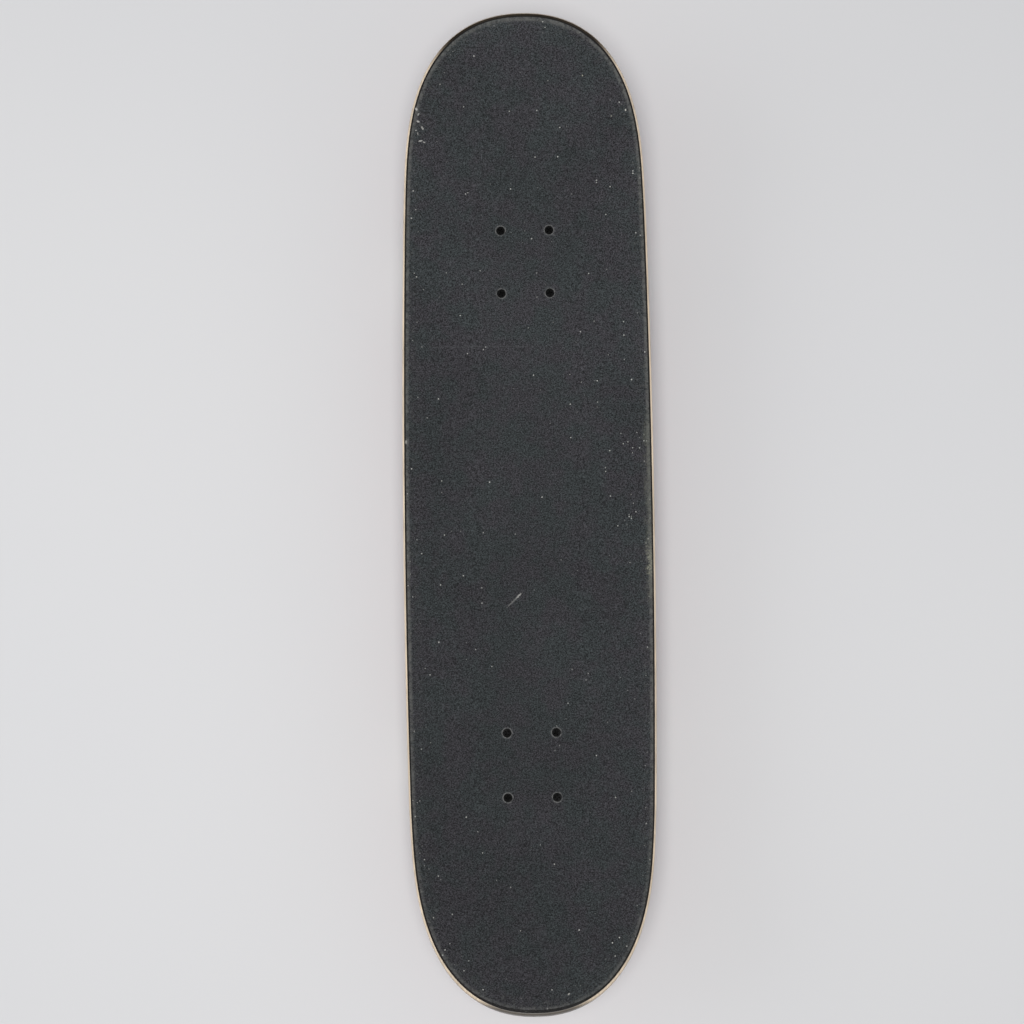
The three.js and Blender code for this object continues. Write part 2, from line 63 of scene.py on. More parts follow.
MM = 0.001
ENDS = {"front": 1, "rear": -1}
HANDS = {"left": -1, "right": 1}
FLIP = Matrix.Rotation(math.pi, 4, "X")
HALF_PATTERN = Vector((20.64, 26.99)) * MM  # from a truck's middle to its bolts
GAP = 0.1 * MM  # left between the deck and what lies against it
BOLT_SINK = 0.4 * MM  # how deep the bolt heads are pulled into the tape
CAMERA_DISTANCE = 1.6
SHARP = 32  # degrees past which an edge stays crisp
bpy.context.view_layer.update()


# ---- Places read from the frame -----------------------------------------------------------------

def bolt_middle(end):
    """The middle of one truck's four bolts, at the gripped face."""
    boxes = [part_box(f"{end}_deck_bolt_{i}") for i in range(1, 5)]
    middle = sum(((low + high) / 2 for low, high in boxes), Vector()) / 4
    return Vector((middle.x, middle.y, boxes[0][1].z))


def bolt_tops():
    """The middle of each bolt head's face."""
    tops = []
    for end in ENDS:
        for i in range(1, 5):
            low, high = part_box(f"{end}_deck_bolt_{i}")
            tops.append((f"{end}_deck_bolt_{i}", Vector(((low.x + high.x) / 2, (low.y + high.y) / 2, high.z))))
    return tops


BOARD_MIDDLE = (bolt_middle("front") + bolt_middle("rear")) / 2
PATTERN_REACH = (bolt_middle("front") - bolt_middle("rear")).y / 2
DECK_LOW, DECK_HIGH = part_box("deck")
PLATE_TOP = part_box("front_baseplate")[1].z


def truck_place(end):
    """A truck's own frame: X across the board, Y towards its tip, Z up, with 0 under the deck."""
    turn = Matrix.Rotation(0 if end == "front" else math.pi, 4, "Z")
    return Matrix.Translation((0, bolt_middle(end).y, PLATE_TOP)) @ turn


# ---- Sizes and colours a maker may change -------------------------------------------------------

def length(name, description, mm):
    return FloatProperty(name=name, description=description, default=mm * MM, unit="LENGTH", precision=5)


def angle(name, description, degrees):
    return FloatProperty(name=name, description=description, default=math.radians(degrees), subtype="ANGLE")


def colour(name, description, value):
    return FloatVectorProperty(name=name, description=description, default=value, size=3,
                               subtype="COLOR", min=0.0, max=1.0)


class DeckSizes(bpy.types.PropertyGroup):
    """How the deck is cut and pressed"""
    thickness: length("Thickness", "The pressed stack of plies", 11)
    top_rail: length("Top rail radius", "Rounding of the deck's upper edge", 1.8)
    bottom_rail: length("Bottom rail radius", "Rounding of the deck's lower edge", 3.2)
    width_at_bolts: length("Width at bolts", "The deck's width at the middle of each truck", 207.8)
    concave_rise: length("Concave", "How far the side edges stand above the middle", 8.5)
    flat_half_width: length("Flat half width", "Half the flat strip under the bolts", 31.5)
    kick_radius: length("Kick radius", "Radius of the bend at nose and tail", 100)
    kick_start: length("Kick start", "From the outer bolts to the start of the bend", 12)
    nose_kick: angle("Nose kick", "Slope of the nose", 21)
    tail_kick: angle("Tail kick", "Slope of the tail", 20)
    grip_thickness: length("Grip thickness", "Grip tape with its grit", 0.9)
    grip_inset: length("Grip inset", "From the deck's outline to the filed edge of the grip", 1.6)
    tip_sanding: length("Tip sanding", "How far nose and tail are sanded back", 1.4)
    bolt_spacing: length("Bolt spacing", "Along the board, between a truck's bolts", 53.98)


class HardwareSizes(bpy.types.PropertyGroup):
    """Sizes of the bolts, nuts and bushings"""
    bolt_head: length("Bolt head", "Diameter of a deck bolt's head", 8.8)
    bolt_shank: length("Bolt shank", "Diameter of a deck bolt", 4.8)
    deck_nut: length("Deck nut", "Across the flats", 9.5)
    kingpin: length("Kingpin", "Diameter of the kingpin", 9.5)
    kingpin_nut: length("Kingpin nut", "Across the flats", 14.3)
    axle: length("Axle", "Diameter of the axle", 7.94)
    axle_nut: length("Axle nut", "Across the flats", 12.7)
    thread_pitch: length("Thread pitch", "Of the kingpin and the axle", 1.06)


class BoardColours(bpy.types.PropertyGroup):
    """Colours of the board's pieces"""
    grip: colour("Grip", "Worn black grit", (0.0259, 0.0272, 0.0284))
    grip_filed: colour("Filed grip", "The filed line round the grip's edge", (0.120, 0.120, 0.112))
    maple: colour("Maple", "Bare long-grain maple", (0.62, 0.51, 0.38))
    cross_ply: colour("Cross ply", "End grain of the cross plies", (0.46, 0.32, 0.20))
    stain: colour("Underside stain", "Dyed bottom ply", (0.40, 0.055, 0.060))
    black_steel: colour("Black steel", "Bolts and deck nuts", (0.0022, 0.0022, 0.0025))
    aluminium: colour("Cast aluminium", "Hangers and baseplates", (0.56, 0.57, 0.58))
    zinc: colour("Zinc plate", "Axles, kingpins, washers and nuts", (0.60, 0.60, 0.58))
    bearing: colour("Bearing steel", "Races", (0.62, 0.63, 0.65))
    shield: colour("Bearing shield", "Pressed shields", (0.022, 0.022, 0.025))
    bushing: colour("Bushings", "Cast urethane", (0.34, 0.032, 0.022))
    cup: colour("Pivot cups", "Moulded urethane", (0.020, 0.020, 0.022))
    wheel: colour("Wheels", "Cast urethane", (0.74, 0.70, 0.60))
    tread_dirt: colour("Tread dirt", "Road dirt on the tread", (0.30, 0.275, 0.24))


# ---- Mesh helpers -------------------------------------------------------------------------------

def loose_object(name, bm):
    mesh = bpy.data.meshes.new(name)
    bm.to_mesh(mesh)
    bm.free()
    made = bpy.data.objects.new(name, mesh)
    bpy.context.scene.collection.objects.link(made)
    return made


def finish_piece(name, bm, material, body, node=None):
    """Makes a bmesh a finished piece that rides on a body, or on none if body is None."""
    piece = loose_object(name, bm)
    piece.data.shade_smooth()
    piece.data.set_sharp_from_angle(angle=math.radians(SHARP))
    piece.data.materials.append(material)
    if body:
        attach(piece, body)
    if node:
        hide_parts(node)
    return piece


def stand_in(node, suffix, bm, material, body):
    """A finished piece named after the one CAD node that it replaces."""
    return finish_piece(f"{node}_{suffix}", bm, material, body, node)


def dropped(work):
    """Removes an object and its mesh."""
    mesh = work.data
    bpy.data.objects.remove(work)
    bpy.data.meshes.remove(mesh)


def through_modifier(bm, kind, **settings):
    """Passes a bmesh through one modifier and returns the result."""
    work = loose_object("work", bm)
    change = work.modifiers.new("change", kind)
    for key, value in settings.items():
        setattr(change, key, value)
    view = bpy.context.evaluated_depsgraph_get()
    view.update()
    made = bpy.data.meshes.new_from_object(work.evaluated_get(view), preserve_all_data_layers=True,
                                           depsgraph=view)
    result = bmesh.new()
    result.from_mesh(made)
    dropped(work)
    bpy.data.meshes.remove(made)
    return result


def combined(bm, other, operation="DIFFERENCE"):
    """Cuts one closed shape with another, or keeps what they share."""
    tool = loose_object("tool", other)
    result = through_modifier(bm, "BOOLEAN", object=tool, operation=operation, solver="EXACT")
    dropped(tool)
    return result


def joined(*shapes):
    """One bmesh that holds several."""
    whole = bmesh.new()
    for bm in shapes:
        mesh = bpy.data.meshes.new("shape")
        bm.to_mesh(mesh)
        bm.free()
        whole.from_mesh(mesh)
        bpy.data.meshes.remove(mesh)
    return whole


def moved(bm, matrix):
    bmesh.ops.transform(bm, matrix=matrix, verts=bm.verts)
    return bm


def rounded(corners, steps=4, closed=True):
    """Points of an outline in mm from (x, y, radius) corners, each corner drawn as an arc."""
    points = []
    last = len(corners) - 1
    for i, (x, y, radius) in enumerate(corners):
        here = Vector((x, y))
        if radius == 0 or (not closed and i in (0, last)):
            points.append((x, y))
            continue
        back = Vector(corners[i - 1][:2]) - here
        ahead = Vector(corners[(i + 1) % len(corners)][:2]) - here
        half = back.angle(ahead) / 2
        reach = min(radius / math.tan(half), 0.48 * back.length, 0.48 * ahead.length)
        start = here + back.normalized() * reach
        end = here + ahead.normalized() * reach
        for k in range(steps + 1):
            t = k / steps
            point = (1 - t) ** 2 * start + 2 * t * (1 - t) * here + t * t * end
            points.append((point.x, point.y))
    return points


def turned(profile, steps, closed=True):
    """A ring turned round Z from a closed profile of (radius, height) points in mm."""
    bm = bmesh.new()
    verts = [bm.verts.new((r * MM, 0, h * MM)) for r, h in profile]
    edges = [bm.edges.new(pair) for pair in zip(verts, verts[1:])]
    if closed:
        edges.append(bm.edges.new((verts[-1], verts[0])))
    bmesh.ops.spin(bm, geom=verts + edges, cent=(0, 0, 0), axis=(0, 0, 1), angle=2 * math.pi,
                   steps=steps, use_merge=True)
    bmesh.ops.remove_doubles(bm, verts=bm.verts, dist=1e-6)
    bmesh.ops.recalc_face_normals(bm, faces=bm.faces)
    return bm


def solid(profile, steps):
    """A shape turned round Z from a profile that runs from axis to axis."""
    return turned(profile, steps, closed=False)


def rod(radius, low, high, steps):
    """A plain cylinder, in mm."""
    return solid([(0, low), (radius, low), (radius, high), (0, high)], steps)


def ring(inner, outer, low, high, inner_round, outer_round, steps):
    """A plain ring with rounded edges, in mm."""
    return turned(rounded([(inner, low, inner_round), (outer, low, outer_round), (outer, high, outer_round),
                           (inner, high, inner_round)], 3), steps)


def both_sides(half, round_steps, steps):
    """A ring turned from the outer half of its profile and that half's mirror image."""
    return turned(rounded(half + [(r, -h, c) for r, h, c in reversed(half)], round_steps), steps)


def bowl(radius, steps):
    """Profile points of a half ball, from its foot on the axis to its rim."""
    turns = (math.pi / 2 * k / steps for k in range(steps + 1))
    return [(radius * math.sin(turn), -radius * math.cos(turn)) for turn in turns]


def raised(bm, height):
    """Extrudes a flat bmesh upwards, in metres."""
    pushed = bmesh.ops.extrude_face_region(bm, geom=bm.faces[:])
    verts = [v for v in pushed["geom"] if isinstance(v, bmesh.types.BMVert)]
    bmesh.ops.translate(bm, vec=(0, 0, height), verts=verts)
    bmesh.ops.recalc_face_normals(bm, faces=bm.faces)
    return bm


def slab(outline, low, high):
    """A flat outline of (x, y) points in mm, extruded between two heights in mm."""
    bm = bmesh.new()
    bm.faces.new([bm.verts.new((x * MM, y * MM, low * MM)) for x, y in outline])
    return raised(bm, (high - low) * MM)


def block(low, high):
    """A box in mm between two corners."""
    bm = bmesh.new()
    bmesh.ops.create_cube(bm, size=1)
    size = (Vector(high) - Vector(low)) * MM
    middle = (Vector(high) + Vector(low)) / 2 * MM
    bmesh.ops.scale(bm, vec=size, verts=bm.verts)
    bmesh.ops.translate(bm, vec=middle, verts=bm.verts)
    return bm


def hexagon(flats, low, high):
    """A hexagonal prism in mm."""
    bm = bmesh.new()
    bmesh.ops.create_cone(bm, cap_ends=True, segments=6, radius1=flats / math.sqrt(3) * MM,
                          radius2=flats / math.sqrt(3) * MM, depth=(high - low) * MM)
    return moved(bm, Matrix.Translation((0, 0, (high + low) / 2 * MM)))


def noted(bm, matrix):
    """Stands a copy of a shape made round Z in its place, and keeps each point's distance from the axis
    and its height along it as attributes for the materials."""
    bm = bm.copy()
    from_axis = bm.verts.layers.float.new("from_axis")
    along_axis = bm.verts.layers.float.new("along_axis")
    for v in bm.verts:
        v[from_axis] = math.hypot(v.co.x, v.co.y)
        v[along_axis] = v.co.z
    return moved(bm, matrix)


def thread(radius, low, high, pitch, depth=0.35):
    """Profile points of a thread as rings, upwards from low to high, in mm."""
    points = []
    count = int((high - low) / pitch)
    for i in range(count):
        base = low + i * pitch
        points += [(radius - depth, base), (radius, base + 0.4 * pitch), (radius, base + 0.6 * pitch)]
    return points + [(radius - depth, low + count * pitch)]


COLLAR = 0.92  # a lock nut's collar over its width across the flats
NYLON_WALL = 0.8


def nylon_reach(flats):
    """The outside radius of a lock nut's nylon ring, in metres."""
    return (flats / 2 * COLLAR - NYLON_WALL) * MM


def lock_nut(flats, bore, low, hex_high, high):
    """A lock nut: a chamfered hexagon, and a collar that holds a nylon ring. All in mm."""
    corner = flats / math.sqrt(3)
    chamfer = corner - flats / 2 * 0.97
    rise = chamfer * 0.58
    collar = flats / 2 * COLLAR
    lens = [(0, low), (corner - chamfer, low), (corner, low + rise), (corner, hex_high - rise),
            (corner - chamfer, hex_high), (0, hex_high)]
    body = combined(hexagon(flats, low, hex_high), solid(lens, 48), "INTERSECT")
    body = combined(body, rod(bore, low - 1, high + 1, 32))
    crown = rounded([(bore + 0.1, hex_high - 0.6, 0), (collar, hex_high - 0.6, 0), (collar, high, 0.9),
                     (collar - NYLON_WALL, high, 0.2), (collar - NYLON_WALL, high - 0.45, 0.1),
                     (bore + 0.1, high - 0.45, 0.1)])
    return joined(body, turned(crown, 40))


# ---- The board's surface ------------------------------------------------------------------------

class Board:
    """The deck's outline and the press that bends it, in metres. The flat blank lies round 0."""

    ROUND = {1: (190 * MM, 3.9, 2.2), -1: (200 * MM, 3.6, 2.2)}  # reach, fullness and power of each tip
    ACROSS_STEP = 5.8  # mm between the cuts that let a slab bend
    ALONG_STEP = {True: 3, False: 6}  # the same, near the kicks and elsewhere
    SAMPLES = 1600  # of each tip's outline, for the distance to the edge

    def __init__(self, sizes):
        self.sizes = sizes
        self.half = (DECK_HIGH.x - DECK_LOW.x) / 2
        self.bend_start = PATTERN_REACH + sizes.bolt_spacing / 2 + sizes.kick_start
        self.kick = {1: sizes.nose_kick, -1: sizes.tail_kick}
        below = sizes.thickness - sizes.grip_inset
        self.reach = {1: DECK_HIGH.y - BOARD_MIDDLE.y - math.sin(sizes.nose_kick) * below - sizes.tip_sanding,
                      -1: BOARD_MIDDLE.y - DECK_LOW.y - math.sin(sizes.tail_kick) * below - sizes.tip_sanding}
        self.top = PLATE_TOP + GAP + sizes.thickness

    def half_width(self, distance, end):
        reach, fullness, power = self.ROUND[end]
        taper = (self.half - self.sizes.width_at_bolts / 2) * (distance / PATTERN_REACH) ** 2
        nearness = min(1.0, max(0.0, 1 - (self.reach[end] - distance) / reach))
        return (self.half - taper) * (1 - nearness ** fullness) ** (1 / power)

    def blank(self, steps=720):
        """The flat blank as one face at z = 0."""
        bm = bmesh.new()
        bmesh.ops.create_circle(bm, cap_ends=True, segments=steps, radius=1)
        for v in bm.verts:
            end = 1 if v.co.y >= 0 else -1
            distance = min(1.0, abs(v.co.y)) * self.reach[end]
            hand = 0 if abs(v.co.x) < 1e-5 else math.copysign(1, v.co.x)
            v.co.x = hand * self.half_width(distance, end)
            v.co.y = end * distance
        bmesh.ops.recalc_face_normals(bm, faces=bm.faces)
        return bm

    def gridded(self, bm):
        """Cuts a flat slab with planes along and across the board, so that it can bend."""
        across = [k * self.ACROSS_STEP * MM for k in range(-17, 18)]
        along = [0.0]
        for end in (1, -1):
            place = self.ALONG_STEP[False] * MM
            while place < self.reach[end]:
                along.append(end * place)
                near_bend = self.bend_start - 4 * MM < place < self.bend_start + 40 * MM
                place += self.ALONG_STEP[near_bend] * MM
        for places, normal in ((across, Vector((1, 0, 0))), (along, Vector((0, 1, 0)))):
            for place in places:
                bmesh.ops.bisect_plane(bm, geom=bm.verts[:] + bm.edges[:] + bm.faces[:], dist=2e-5,
                                       plane_co=normal * place, plane_no=normal)
        return bm

    def edge_distances(self, bm):
        """Keeps each point's distance from the deck's outline, and its height in the flat stack."""
        tree_points = []
        for end in (1, -1):
            for k in range(self.SAMPLES):
                distance = math.sin(math.pi / 2 * k / (self.SAMPLES - 1)) * self.reach[end]
                half = self.half_width(distance, end)
                tree_points += [(half, end * distance, 0), (-half, end * distance, 0)]
        tree = KDTree(len(tree_points))
        for i, point in enumerate(tree_points):
            tree.insert(point, i)
        tree.balance()
        from_edge = bm.verts.layers.float.new("from_edge")
        height = bm.verts.layers.float.new("height")
        for v in bm.verts:
            v[from_edge] = tree.find((v.co.x, v.co.y, 0))[2]
            v[height] = v.co.z
        return bm

    def pressed(self, bm):
        """Bends the flat blank. A point's z is its height over the deck's top face."""
        sizes = self.sizes
        for v in bm.verts:
            x, y, z = v.co
            end = 1 if y >= 0 else -1
            past = max(0.0, abs(y) - self.bend_start)
            bend = sizes.kick_radius * math.sin(self.kick[end])
            slope = math.asin(past / sizes.kick_radius) if past < bend else self.kick[end]
            rise = sizes.kick_radius * (1 - math.cos(slope)) + max(0.0, past - bend) * math.tan(self.kick[end])
            outside = max(0.0, abs(x) - sizes.flat_half_width) / (self.half - sizes.flat_half_width)
            off = sizes.concave_rise * outside ** 2 + z
            v.co = (x + BOARD_MIDDLE.x, BOARD_MIDDLE.y + y - end * math.sin(slope) * off,
                    self.top + rise + math.cos(slope) * off)
        return bm

    def slab(self, low, high, low_rail, high_rail, inset=0.0):
        """The flat blank between two heights, with its edges rounded. All in metres."""
        bm = self.blank()
        if inset:
            bmesh.ops.inset_region(bm, faces=bm.faces[:], thickness=inset, use_even_offset=True,
                                   use_boundary=True)
            bmesh.ops.delete(bm, geom=[f for f in bm.faces if len(f.verts) == 4], context="FACES")
        bmesh.ops.translate(bm, vec=(0, 0, low + low_rail), verts=bm.verts)
        raised(bm, high - high_rail - low - low_rail)
        caps = sorted((f for f in bm.faces if len(f.verts) > 4), key=lambda f: f.calc_center_median().z)
        self.rail(bm, caps[0], low_rail)
        self.rail(bm, caps[-1], high_rail)
        return self.gridded(bm)

    def rail(self, bm, face, radius, steps=5):
        """Rounds a slab's edge round a face, in steps of inset and sink."""
        last = Vector((0, 0))
        for k in range(1, steps + 1):
            turn = math.pi / 2 * k / steps
            here = Vector((radius * (1 - math.cos(turn)), radius * math.sin(turn)))
            step = here - last
            bmesh.ops.inset_region(bm, faces=[face], thickness=step.x, depth=step.y, use_even_offset=True)
            last = here

    def cut_holes(self, bm, profile, steps=32):
        """Cuts the eight bolt holes with a turned profile, its heights over the deck's top face in mm."""
        cutters = []
        for _, top in bolt_tops():
            place = Matrix.Translation((top.x - BOARD_MIDDLE.x, top.y - BOARD_MIDDLE.y, 0))
            cutters.append(moved(solid(profile, steps), place))
        return combined(bm, joined(*cutters))


# ---- Materials ----------------------------------------------------------------------------------

class Finish:
    """Builds one node material. Each call adds a node and returns one of its outputs."""

    def __init__(self, name, base, roughness, metallic=0.0, **shader):
        self.material = bpy.data.materials.new(name)
        self.material.use_nodes = True
        self.nodes = self.material.node_tree.nodes
        self.links = self.material.node_tree.links
        self.shader = self.nodes["Principled BSDF"]
        shader.update(Base_Color=(*base, 1), Roughness=roughness, Metallic=metallic)
        for key, value in shader.items():
            self.shader.inputs[key.replace("_", " ")].default_value = value
        self.place = self.add("TexCoord", out="Object")

    def add(self, kind, inputs=None, out=0, **settings):
        made = self.nodes.new("ShaderNode" + kind)
        for key, value in settings.items():
            setattr(made, key, value)
        for key, value in (inputs or {}).items():
            if isinstance(value, bpy.types.NodeSocket):
                self.links.new(value, made.inputs[key])
            else:
                made.inputs[key].default_value = value
        return made.outputs[out]

    def set(self, name, value):
        self.links.new(value, self.shader.inputs[name])

    def note(self, name):
        """An attribute of the piece's own mesh."""
        return self.add("Attribute", out="Fac", attribute_name=name)

    def axis(self, name):
        return self.add("SeparateXYZ", {0: self.place}, out=name)

    def stretched(self, scale, turn=(0, 0, 0)):
        return self.add("Mapping", {"Vector": self.place, "Rotation": turn, "Scale": scale})

    def noise(self, scale, detail=3.0, roughness=0.5, vector=None, distortion=0.0):
        return self.add("TexNoise", {"Vector": vector or self.place, "Scale": scale, "Detail": detail,
                                     "Roughness": roughness, "Distortion": distortion}, out="Fac")

    def math(self, operation, *values):
        return self.add("Math", dict(enumerate(values)), operation=operation)

    def times(self, *values):
        return reduce(lambda a, b: self.math("MULTIPLY", a, b), values)

    def plus(self, a, b):
        return self.math("ADD", a, b)

    def minus(self, a, b):
        return self.math("SUBTRACT", a, b)

    def between(self, value, low, high, to_low=0.0, to_high=1.0):
        """Runs from to_low to to_high as a value goes from low to high, and stays there past them."""
        return self.add("MapRange", {"Value": value, "From Min": low, "From Max": high, "To Min": to_low,
                                     "To Max": to_high}, interpolation_type="SMOOTHSTEP")

    def mixed(self, share, a, b, blend="MIX"):
        a, b = (one if isinstance(one, bpy.types.NodeSocket) else (*one, 1) for one in (a, b))
        return self.add("Mix", {0: share, 6: a, 7: b}, out=2, data_type="RGBA", blend_type=blend)

    def over(self, under, colour, *shares):
        """Lays a colour over another, by the product of its shares."""
        return self.mixed(self.times(*shares), under, colour)

    def toned(self, cloud, colour, dark, light, low=0.3, high=0.7):
        """One colour from a darker to a lighter shade of itself."""
        return self.mixed(self.between(cloud, low, high), shade(colour, dark), shade(colour, light))

    def spot(self, at, size, scale, turn):
        """A ragged patch at a place, with half sizes in metres."""
        turned_in = self.add("Mapping", {"Vector": self.place, "Location": at, "Rotation": (0, 0, turn),
                                         "Scale": size}, vector_type="TEXTURE")
        away = self.add("VectorMath", {0: turned_in}, out="Value", operation="LENGTH")
        ragged = self.math("MULTIPLY_ADD", self.minus(self.noise(scale, 4, 0.7), 0.5), 1.8, away)
        return self.between(ragged, 1.05, 0.75)

    def done(self, base, height, strength, distance, roughness=None):
        """Links the finished colour, bump and roughness, and returns the material."""
        self.set("Base Color", base)
        self.set("Normal", self.add("Bump", {"Height": height, "Strength": strength, "Distance": distance}))
        if roughness is not None:
            self.set("Roughness", roughness)
        return self.material


def shade(value, factor):
    return tuple(min(1.0, c * factor) for c in value)


# Scuffs on the grip: place, half size, colour, share, grain of the ragged edge, turn
GRIP_MARKS = (
    ((-0.0895, 0.3370, 0.10), (0.0011, 0.0013), (0.42, 0.41, 0.39), 0.80, 1500, 0.30),
    ((-0.0880, 0.3330, 0.10), (0.0008, 0.0014), (0.30, 0.30, 0.28), 0.75, 1500, -0.40),
    ((-0.0885, 0.3275, 0.10), (0.0014, 0.0009), (0.42, 0.41, 0.39), 0.75, 1500, -0.30),
    ((-0.0850, 0.3225, 0.10), (0.0009, 0.0016), (0.34, 0.33, 0.31), 0.70, 1500, 0.50),
    ((-0.0890, 0.3180, 0.10), (0.0006, 0.0014), (0.30, 0.29, 0.27), 0.60, 1500, 0.10),
    ((-0.0870, 0.3125, 0.10), (0.0020, 0.0005), (0.42, 0.41, 0.39), 0.75, 1500, 0.15),
    ((-0.0840, 0.3115, 0.10), (0.0012, 0.0005), (0.36, 0.35, 0.33), 0.70, 1500, -0.25),
    ((0.0740, 0.3300, 0.10), (0.0005, 0.0008), (0.30, 0.29, 0.24), 0.70, 900, 0),
    ((0.0500, 0.3620, 0.12), (0.0006, 0.0007), (0.34, 0.33, 0.27), 0.75, 900, 0),
    ((0.0860, 0.3340, 0.10), (0.0007, 0.0009), (0.45, 0.44, 0.40), 0.80, 900, 0),
    ((-0.0130, -0.0752, 0.091), (0.0008, 0.0092), (0.20, 0.20, 0.19), 0.40, 1100, -0.80),
    ((-0.0093, -0.0717, 0.091), (0.0008, 0.0034), (0.42, 0.41, 0.38), 0.42, 1400, -0.80),
    ((-0.1025, 0.0590, 0.098), (0.0008, 0.0016), (0.34, 0.33, 0.30), 0.60, 900, 0),
    ((0.0270, -0.3945, 0.14), (0.0011, 0.0007), (0.34, 0.33, 0.30), 0.65, 900, 0.5),
    ((-0.0400, 0.1400, 0.091), (0.0600, 0.0006), (0.062, 0.065, 0.067), 0.30, 500, 0),
)
MARK_DEPTH = 0.06
# Scuffed stretches of the right edge: front end, rear end, reach inwards, share, colour
SCUFFED_EDGES = (
    (0.085, -0.084, 0.0095, 0.60, (0.105, 0.107, 0.088)),
    (-0.027, -0.062, 0.0082, 1.0, (0.185, 0.182, 0.142)),
)


def grip_finish(colours):
    f = Finish("grip_grit", colours.grip, 0.88, Specular_IOR_Level=0.22)
    edge, across, along = f.note("from_edge"), f.axis("X"), f.axis("Y")
    grit, fine = f.noise(880, 2, 0.7), f.noise(1700, 2, 0.6)
    grain = f.plus(f.times(f.minus(grit, 0.5), 5.6), f.times(f.minus(fine, 0.5), 3.4))
    clouds = f.between(f.noise(9, 4, 0.6), 0.3, 0.7, 0.92, 1.09)
    # Painted light: the grip's tone is scaled from 0.87 at the tail to 1.09 at the nose, a painted falloff of
    # the lamps' light along the board
    painted_light_falloff = f.between(along, -0.42, 0.42, 0.87, 1.09)
    tone = f.times(f.math("MAXIMUM", f.plus(grain, 1.0), 0.25), f.times(clouds, painted_light_falloff))
    hue = f.mixed(f.between(f.noise(48, 3, 0.6), 0.35, 0.65), (0.93, 1.03, 1.02), (1.05, 0.97, 1.04))
    surface = f.mixed(1.0, colours.grip, hue, "MULTIPLY")
    surface = f.mixed(1.0, surface, f.add("CombineColor", {0: tone, 1: tone, 2: tone}), "MULTIPLY")

    worn_edge = f.between(edge, 0.020, 0.003)
    right_half = f.times(f.between(across, 0.055, 0.085),
                         f.between(along, -0.05, -0.01), f.between(along, 0.085, 0.05))
    busy = f.math("MAXIMUM", f.between(f.noise(14, 2, 0.5), 0.56, 0.70, 0.0, 0.35), f.times(right_half, 0.9))
    speck = f.add("TexVoronoi", {"Vector": f.place, "Scale": 520}, out="Distance")
    chance = f.add("SeparateColor", {0: speck.node.outputs["Color"]})
    rare = f.math("MULTIPLY_ADD", f.math("MAXIMUM", f.times(worn_edge, 0.7), busy), -0.050, 0.994)
    bright = f.between(chance.node.outputs["Green"], 0.0, 1.0, 0.15, 0.90)
    surface = f.over(surface, (0.42, 0.42, 0.39), f.math("GREATER_THAN", chance, rare),
                     f.between(speck, 0.40, 0.16), bright)
    dust = f.between(f.noise(330, 5, 0.75), 0.50, 0.72, 0.0, 0.45)
    surface = f.over(surface, (0.105, 0.107, 0.098), dust, worn_edge)

    tip = f.minus(f.between(along, -0.385, -0.412), f.between(along, 0.385, 0.410, 0.0, 0.5))
    dark_to = f.math("MULTIPLY_ADD", tip, 0.0010, 0.0026)
    filed_in = f.between(f.minus(edge, dark_to), 0.0, 0.0006)
    ragged = f.between(f.noise(300, 4, 0.75), 0.36, 0.62, 0.15, 1.0)
    surface = f.over(surface, colours.grip_filed, filed_in, f.between(edge, 0.0066, 0.0042), ragged,
                     f.between(along, -0.36, -0.05, 0.40, 0.62))
    rim = f.minus(1.0, filed_in)
    surface = f.over(surface, (0.0065, 0.0055, 0.0045), rim, f.between(along, -0.38, -0.41, 0.95, 0.66))

    # Folded at each middle line, the eight bolts lie on one another
    fold_x = f.minus(f.math("ABSOLUTE", across), HALF_PATTERN.x)
    fold_y = f.math("ABSOLUTE", f.minus(along, BOARD_MIDDLE.y))
    fold_y = f.minus(f.math("ABSOLUTE", f.minus(fold_y, PATTERN_REACH)), HALF_PATTERN.y)
    reach = f.math("SQRT", f.plus(f.times(fold_x, fold_x), f.times(fold_y, fold_y)))
    surface = f.over(surface, (0.115, 0.115, 0.112), f.between(reach, 0.0051, 0.0043),
                     f.between(ragged, 0.25, 0.75, 0.20, 0.85))

    mottle = f.between(f.noise(700, 3, 0.8), 0.40, 0.60, 0.10, 1.0)
    uneven = f.plus(edge, f.math("MULTIPLY_ADD", f.noise(170, 4, 0.75), 0.016, -0.008))
    right = f.between(across, 0.09, 0.10)
    for front, rear, reach, share, scuff in SCUFFED_EDGES:
        surface = f.over(surface, scuff, f.between(uneven, reach, 0.0048), filed_in,
                         f.between(along, front, front - 0.016), f.between(along, rear, rear + 0.014),
                         mottle, right, share)
    for at, size, scuff, share, scale, turn in GRIP_MARKS:
        surface = f.over(surface, scuff, f.spot(at, (*size, MARK_DEPTH), scale, turn), share)
    return f.done(surface, f.plus(grit, f.times(fine, 0.5)), 0.45, 0.0008)


